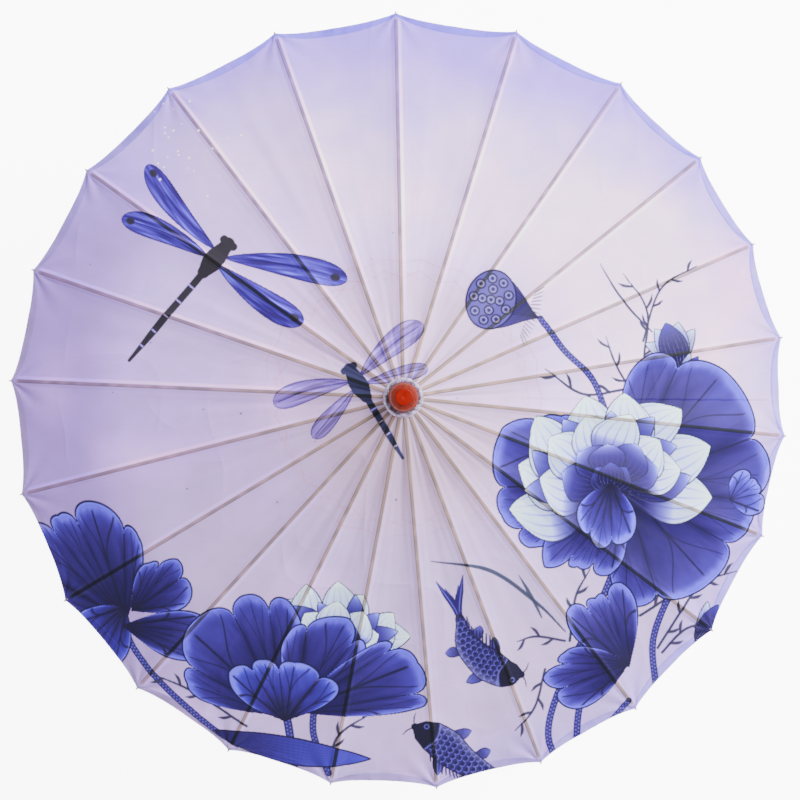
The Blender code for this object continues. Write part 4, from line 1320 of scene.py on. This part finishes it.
# ---------------------------------------------------------------- the frame's own pieces
def make_bars(ribs_material, stretchers_material):
    """Ribs and stretchers with softened edges, in place of the plain ones."""
    rib_mesh = softened_copy("rib_01", "rib_bar", hinge_matrix(0), 0.00035)
    down = Matrix.Rotation(math.pi - math.atan(DROP), 4, "Y")
    elbow = Vector((ELBOW_RADIUS, 0.0, ELBOW.z))

    def stretcher_matrix(rib):
        turn = Matrix.Rotation(AZIMUTHS[rib], 4, "Z")
        return Matrix.Translation(turn @ elbow) @ turn @ down

    stretcher_mesh = softened_copy("stretcher_01", "stretcher_bar", stretcher_matrix(0), 0.00025)
    for rib in range(RIBS):
        for kind, mesh, matrix, material, slot in (
                ("rib", rib_mesh, hinge_matrix(rib), ribs_material, "bamboo"),
                ("stretcher", stretcher_mesh, stretcher_matrix(rib), stretchers_material,
                 "stretcher_bamboo")):
            node = numbered(kind, rib)
            piece(numbered(f"{kind}_bar", rib), mesh, material, node, (node,), matrix)


def make_finial(material):
    """The knob: a raised flat disc with a fine groove round it, a broad bevel, a full side and a waist."""
    low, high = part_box("finial")
    base, top, wide = low.z, high.z, high.x
    profile = rounded((
        (0.0, base + 0.0186), (0.0070, base + 0.0186), (0.0070, base), (0.0112, base),
        (0.0116, base + 0.0060), (0.0140, base + 0.0105), (wide, base + 0.0150), (wide, base + 0.0212),
        (wide - 0.0006, base + 0.0238), (wide - 0.0024, base + 0.0262), (KNOB_DISC + 0.0005, top - 0.0014),
        (KNOB_DISC - 0.0007, top - 0.0002), (KNOB_DISC - 0.0012, top),
        (0.0030, top + 0.0001), (0.0, top - 0.0003),
    ), 0.0007, 4)

    def brushed(angle, radius, height):
        wobble = 0.00010 * math.sin(3 * angle + 1.0) + 0.00006 * math.sin(7 * angle + 2.0)
        return radius + wobble * min(radius / wide, 1.0), height

    turned("finial_knob", profile, material, "finial", 96, brushed)


def make_collar(material):
    """A paper collar pressed over the notch: creased, with a torn inner edge."""
    low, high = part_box("finial_collar")
    wide, base, top = high.x, low.z, high.z
    profile = []
    for t in np.linspace(0.0, 1.0, 34):
        radius = wide - (wide - 0.0134) * t
        height = base + (top - base) * (1.0 - (1.0 - min(t * 1.9, 1.0)) ** 2.2)
        profile.append((radius, height))
    under = [(radius - 0.0003 * (k < 12), height - 0.0005) for k, (radius, height) in enumerate(profile)]
    rng = np.random.default_rng(SEED + 60)
    folds = rng.uniform(-1.0, 1.0, 23)
    tears = rng.uniform(0.0, 1.0, 31)

    def wave_of(table, angle):
        place = angle / (2 * math.pi) * len(table)
        k = int(place)
        share = place - k
        return table[k % len(table)] * (1 - share) + table[(k + 1) % len(table)] * share

    def crumpled(angle, radius, height):
        crease = wave_of(folds, angle)
        inward = min(max((COLLAR_BEND - radius) / 0.0044, 0.0), 1.0)
        rim = min(max((radius - COLLAR_BEND) / 0.0025, 0.0), 1.0)
        bumps = cloudy(radius * 1000 * math.cos(angle), radius * 1000 * math.sin(angle), 3.4, SEED + 61, 2)
        radius += -0.0003 * (crease + 1.0) * rim + 0.0030 * wave_of(tears, angle) ** 2 * inward ** 2
        height += (0.0004 * crease + 0.0011 * bumps) * (1.0 - rim) - 0.0006 * inward * abs(crease)
        return radius, height

    outline = profile + under[::-1] + profile[:1]
    turned("paper_collar", outline, material, "finial_collar", 168, crumpled)


def carved(name, mesh, cutters):
    """A mesh with other meshes cut out of it."""
    obj = link(bpy.data.objects.new(name, mesh))
    for cutter in cutters:
        tool = link(bpy.data.objects.new("cutter", cutter))
        change = obj.modifiers.new("cut", "BOOLEAN")
        change.operation = "DIFFERENCE"
        change.solver = "EXACT"
        change.object = tool
        bpy.context.view_layer.update()
        cut = bpy.data.meshes.new_from_object(obj.evaluated_get(bpy.context.evaluated_depsgraph_get()))
        obj.modifiers.remove(change)
        obj.data = cut
        bpy.data.objects.remove(tool, do_unlink=True)
    result = obj.data
    bpy.data.objects.remove(obj, do_unlink=True)
    result.shade_smooth()
    result.set_sharp_from_angle(angle=math.radians(40))
    return result


def block(low, high):
    mesh = bmesh.new()
    bmesh.ops.create_cube(mesh, size=1.0)
    middle = (Vector(low) + Vector(high)) / 2
    size = Vector(high) - Vector(low)
    for vertex in mesh.verts:
        vertex.co = Vector((vertex.co[k] * size[k] + middle[k] for k in range(3)))
    return mesh_of(mesh, "block")


def rod(start, end, radius):
    mesh = bmesh.new()
    tube(mesh, [start, end], radius, 20)
    return mesh_of(mesh, "rod")


def make_shaft(material):
    """Round bamboo with a few slightly swollen nodes, the catch's slot, and holes for the two pins."""
    low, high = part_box("shaft")
    wide = high.x
    nodes_at = (0.158, 0.262, 0.366, 0.470)
    profile = [(0.0, low.z), (wide - 0.0005, low.z), (wide, low.z + 0.0005)]
    for z in nodes_at:
        profile += [(wide, z - 0.0042), (wide + 0.00028, z - 0.0011), (wide + 0.00006, z),
                    (wide + 0.00024, z + 0.0008), (wide, z + 0.0034)]
    profile += [(wide, high.z - 0.0005), (wide - 0.0005, high.z), (0.0, high.z)]
    catch_low, catch_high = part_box("catch_spring")
    slot = block((0.0002, catch_low.y - 0.0003, catch_low.z - 0.0020),
                 (wide + 0.004, catch_high.y + 0.0003, catch_high.z + 0.0066))
    cutters = [slot]
    for node, along in (("catch_pin", "y"), ("notch_pin", "x")):
        pin_low, pin_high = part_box(node)
        middle = (pin_low + pin_high) / 2
        radius = (pin_high.z - pin_low.z) / 2 + 0.0003
        reach = Vector((0.012, 0, 0)) if along == "x" else Vector((0, 0.012, 0))
        cutters.append(rod(middle - reach, middle + reach, radius))
    mesh = carved("shaft_round", lathe_mesh("shaft_round", profile, 64), cutters)
    piece("bamboo_shaft", mesh, material, "root", ("shaft",))


def make_handle(wood, cap_wood, brass):
    """The turned handle with its grooves, the flat cap under it and the ferrule above it."""
    low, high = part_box("handle")
    z0, z1 = low.z, high.z
    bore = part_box("shaft")[1].x + 0.0004
    shape = [(0.0, z0), (0.0094, z0), (0.0108, z0 + 0.0022), (0.0108, z0 + 0.0062), (0.0096, z0 + 0.0082)]
    for at in (0.0094, 0.0106):
        shape += [(0.0098, z0 + at), (0.0093, z0 + at + 0.0004), (0.0098, z0 + at + 0.0008)]
    for k in range(15):
        t = k / 14
        bulge = math.sin(math.pi * t ** 0.82)
        shape.append((0.0098 + 0.0014 * bulge - 0.0003 * t, z0 + 0.0125 + (z1 - z0 - 0.0125 - 0.0135) * t))
    top = z1 - 0.0115
    shape += [(0.0090, top), (0.0095, top + 0.0008), (0.0104, top + 0.0025), (0.0104, top + 0.0066),
              (0.0098, top + 0.0084), (0.0092, z1), (bore, z1), (bore, z0 + 0.0052), (0.0, z0 + 0.0052)]
    turned("turned_handle", rounded(shape, 0.0003), wood, "handle")
    low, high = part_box("handle_end_cap")
    c0, c1, wide = low.z, high.z, high.x
    cap = [(0.0, c0 + 0.0003), (0.0055, c0 + 0.0003), (0.0058, c0), (wide - 0.0009, c0), (wide, c0 + 0.0010),
           (wide, c0 + 0.0026), (wide - 0.0005, c0 + 0.0030), (wide, c0 + 0.0034), (wide, c1 - 0.0006),
           (wide - 0.0006, c1), (0.0, c1)]
    turned("turned_end_cap", rounded(cap, 0.0002), cap_wood, "handle_end_cap")
    low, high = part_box("handle_ferrule")
    f0, f1, wide = low.z, high.z, high.x
    ring = [(bore, f0), (wide, f0), (wide, f0 + 0.0009), (wide - 0.0003, f0 + 0.0012), (wide, f0 + 0.0015),
            (wide, f1 - 0.0020), (wide - 0.0003, f1 - 0.0017), (wide - 0.0001, f1 - 0.0013),
            (wide - 0.0006, f1), (bore, f1), (bore, f0)]
    turned("ferrule_ring", rounded(ring, 0.0002), brass, "handle_ferrule")


def repaint(node, material):
    """Gives a carried-over node its finished material."""
    obj = bpy.data.objects[node]
    obj.material_slots[0].link = "OBJECT"
    obj.material_slots[0].material = material


# ---------------------------------------------------------------- stage
AIM = Vector((0.0, 0.0, RIM_Z))  # what the lights and the camera point at


def make_floor(material):
    """A wide plain floor whose far edge curves up a little, so that low views don't look past it."""
    profile = [(0.0, 0.0)] + [(r, 0.0) for r in (2.0, 10.0, 25.0)]
    profile += [(25.0 + 15.0 * k / 12, 2.6 * (k / 12) ** 2) for k in range(1, 13)]
    floor = link(bpy.data.objects.new("floor", lathe_mesh("floor", profile, 64)))
    floor.data.materials.append(material)


def direction(azimuth, tilt):
    """A unit vector at an azimuth, tilted from straight up."""
    return Vector((math.sin(tilt) * math.cos(azimuth), math.sin(tilt) * math.sin(azimuth), math.cos(tilt)))


def area_light(name, azimuth, tilt, distance, size, power):
    """A soft square light aimed at the middle of the umbrella, tilted from straight above."""
    data = bpy.data.lights.new(name, "AREA")
    data.size = size
    data.energy = power
    light = link(bpy.data.objects.new(name, data))
    out = direction(azimuth, tilt)
    light.location = AIM + out * distance
    light.rotation_euler = out.to_track_quat("Z", "Y").to_euler()


def make_camera():
    """The camera looks almost straight down, with +Y up in the picture."""
    data = bpy.data.cameras.new("camera")
    data.lens = FOCAL_LENGTH
    data.sensor_width = 36.0
    camera = link(bpy.data.objects.new("camera", data))
    out = direction(VIEW_AZIMUTH, VIEW_TILT)
    up = Vector((0.0, 1.0, 0.0))
    up = (up - out * up.dot(out)).normalized()
    turn = Matrix((up.cross(out), up, out)).transposed().to_4x4()
    camera.matrix_world = Matrix.Translation(AIM + out * VIEW_DISTANCE) @ turn
    bpy.context.scene.camera = camera


def make_world():
    world = bpy.data.worlds.new("studio")
    world.use_nodes = True
    background = world.node_tree.nodes["Background"].inputs
    background["Color"].default_value = (1.0, 1.0, 1.0, 1.0)
    background["Strength"].default_value = WORLD_LIGHT
    bpy.context.scene.world = world


# ---------------------------------------------------------------- the whole scene
make_camera()
make_world()
area_light("key", LIGHT_AZIMUTH, LIGHT_TILT, 3.2, 1.8, KEY_POWER)
area_light("fill", LIGHT_AZIMUTH + math.pi, math.radians(30), 3.6, 3.0, FILL_POWER)
make_floor(floor_material())

BAMBOO = bamboo_material("rib_bamboo", (0.46, 0.29, 0.12), (0.30, 0.16, 0.06), 0.50)
STRETCHER_BAMBOO = bamboo_material("stretcher_bamboo", (0.40, 0.24, 0.095), (0.25, 0.13, 0.045), 0.50)
SHAFT_BAMBOO = bamboo_material("shaft_bamboo", (0.42, 0.25, 0.09), (0.26, 0.13, 0.045), 0.42, "Z")
HUB_WOOD = wood_material("hub_wood", (0.32, 0.17, 0.07), (0.19, 0.09, 0.035), 0.58)
HANDLE_WOOD = wood_material("handle_wood", (0.17, 0.055, 0.018), (0.075, 0.020, 0.007), 0.34, 0.4)
WIRE = metal_material("wire", (0.55, 0.53, 0.50), 0.34)
BRASS = metal_material("brass", (0.70, 0.52, 0.25), 0.32)
THREAD = thread_material("thread", (0.72, 0.46, 0.52))
BINDING = thread_material("binding_thread", (0.26, 0.20, 0.30))

make_cover(cloth_material())
make_threads(THREAD)
make_tip_bindings(BINDING)
make_bars(BAMBOO, STRETCHER_BAMBOO)
make_finial(lacquer_material())
make_collar(paper_material())
make_shaft(SHAFT_BAMBOO)
make_handle(HANDLE_WOOD, HUB_WOOD, BRASS)
for node_name, node_material in (("top_notch", HUB_WOOD), ("runner", HUB_WOOD), ("notch_wire", WIRE),
                                 ("notch_pin", BAMBOO), ("catch_spring", BAMBOO), ("catch_pin", WIRE)):
    repaint(node_name, node_material)
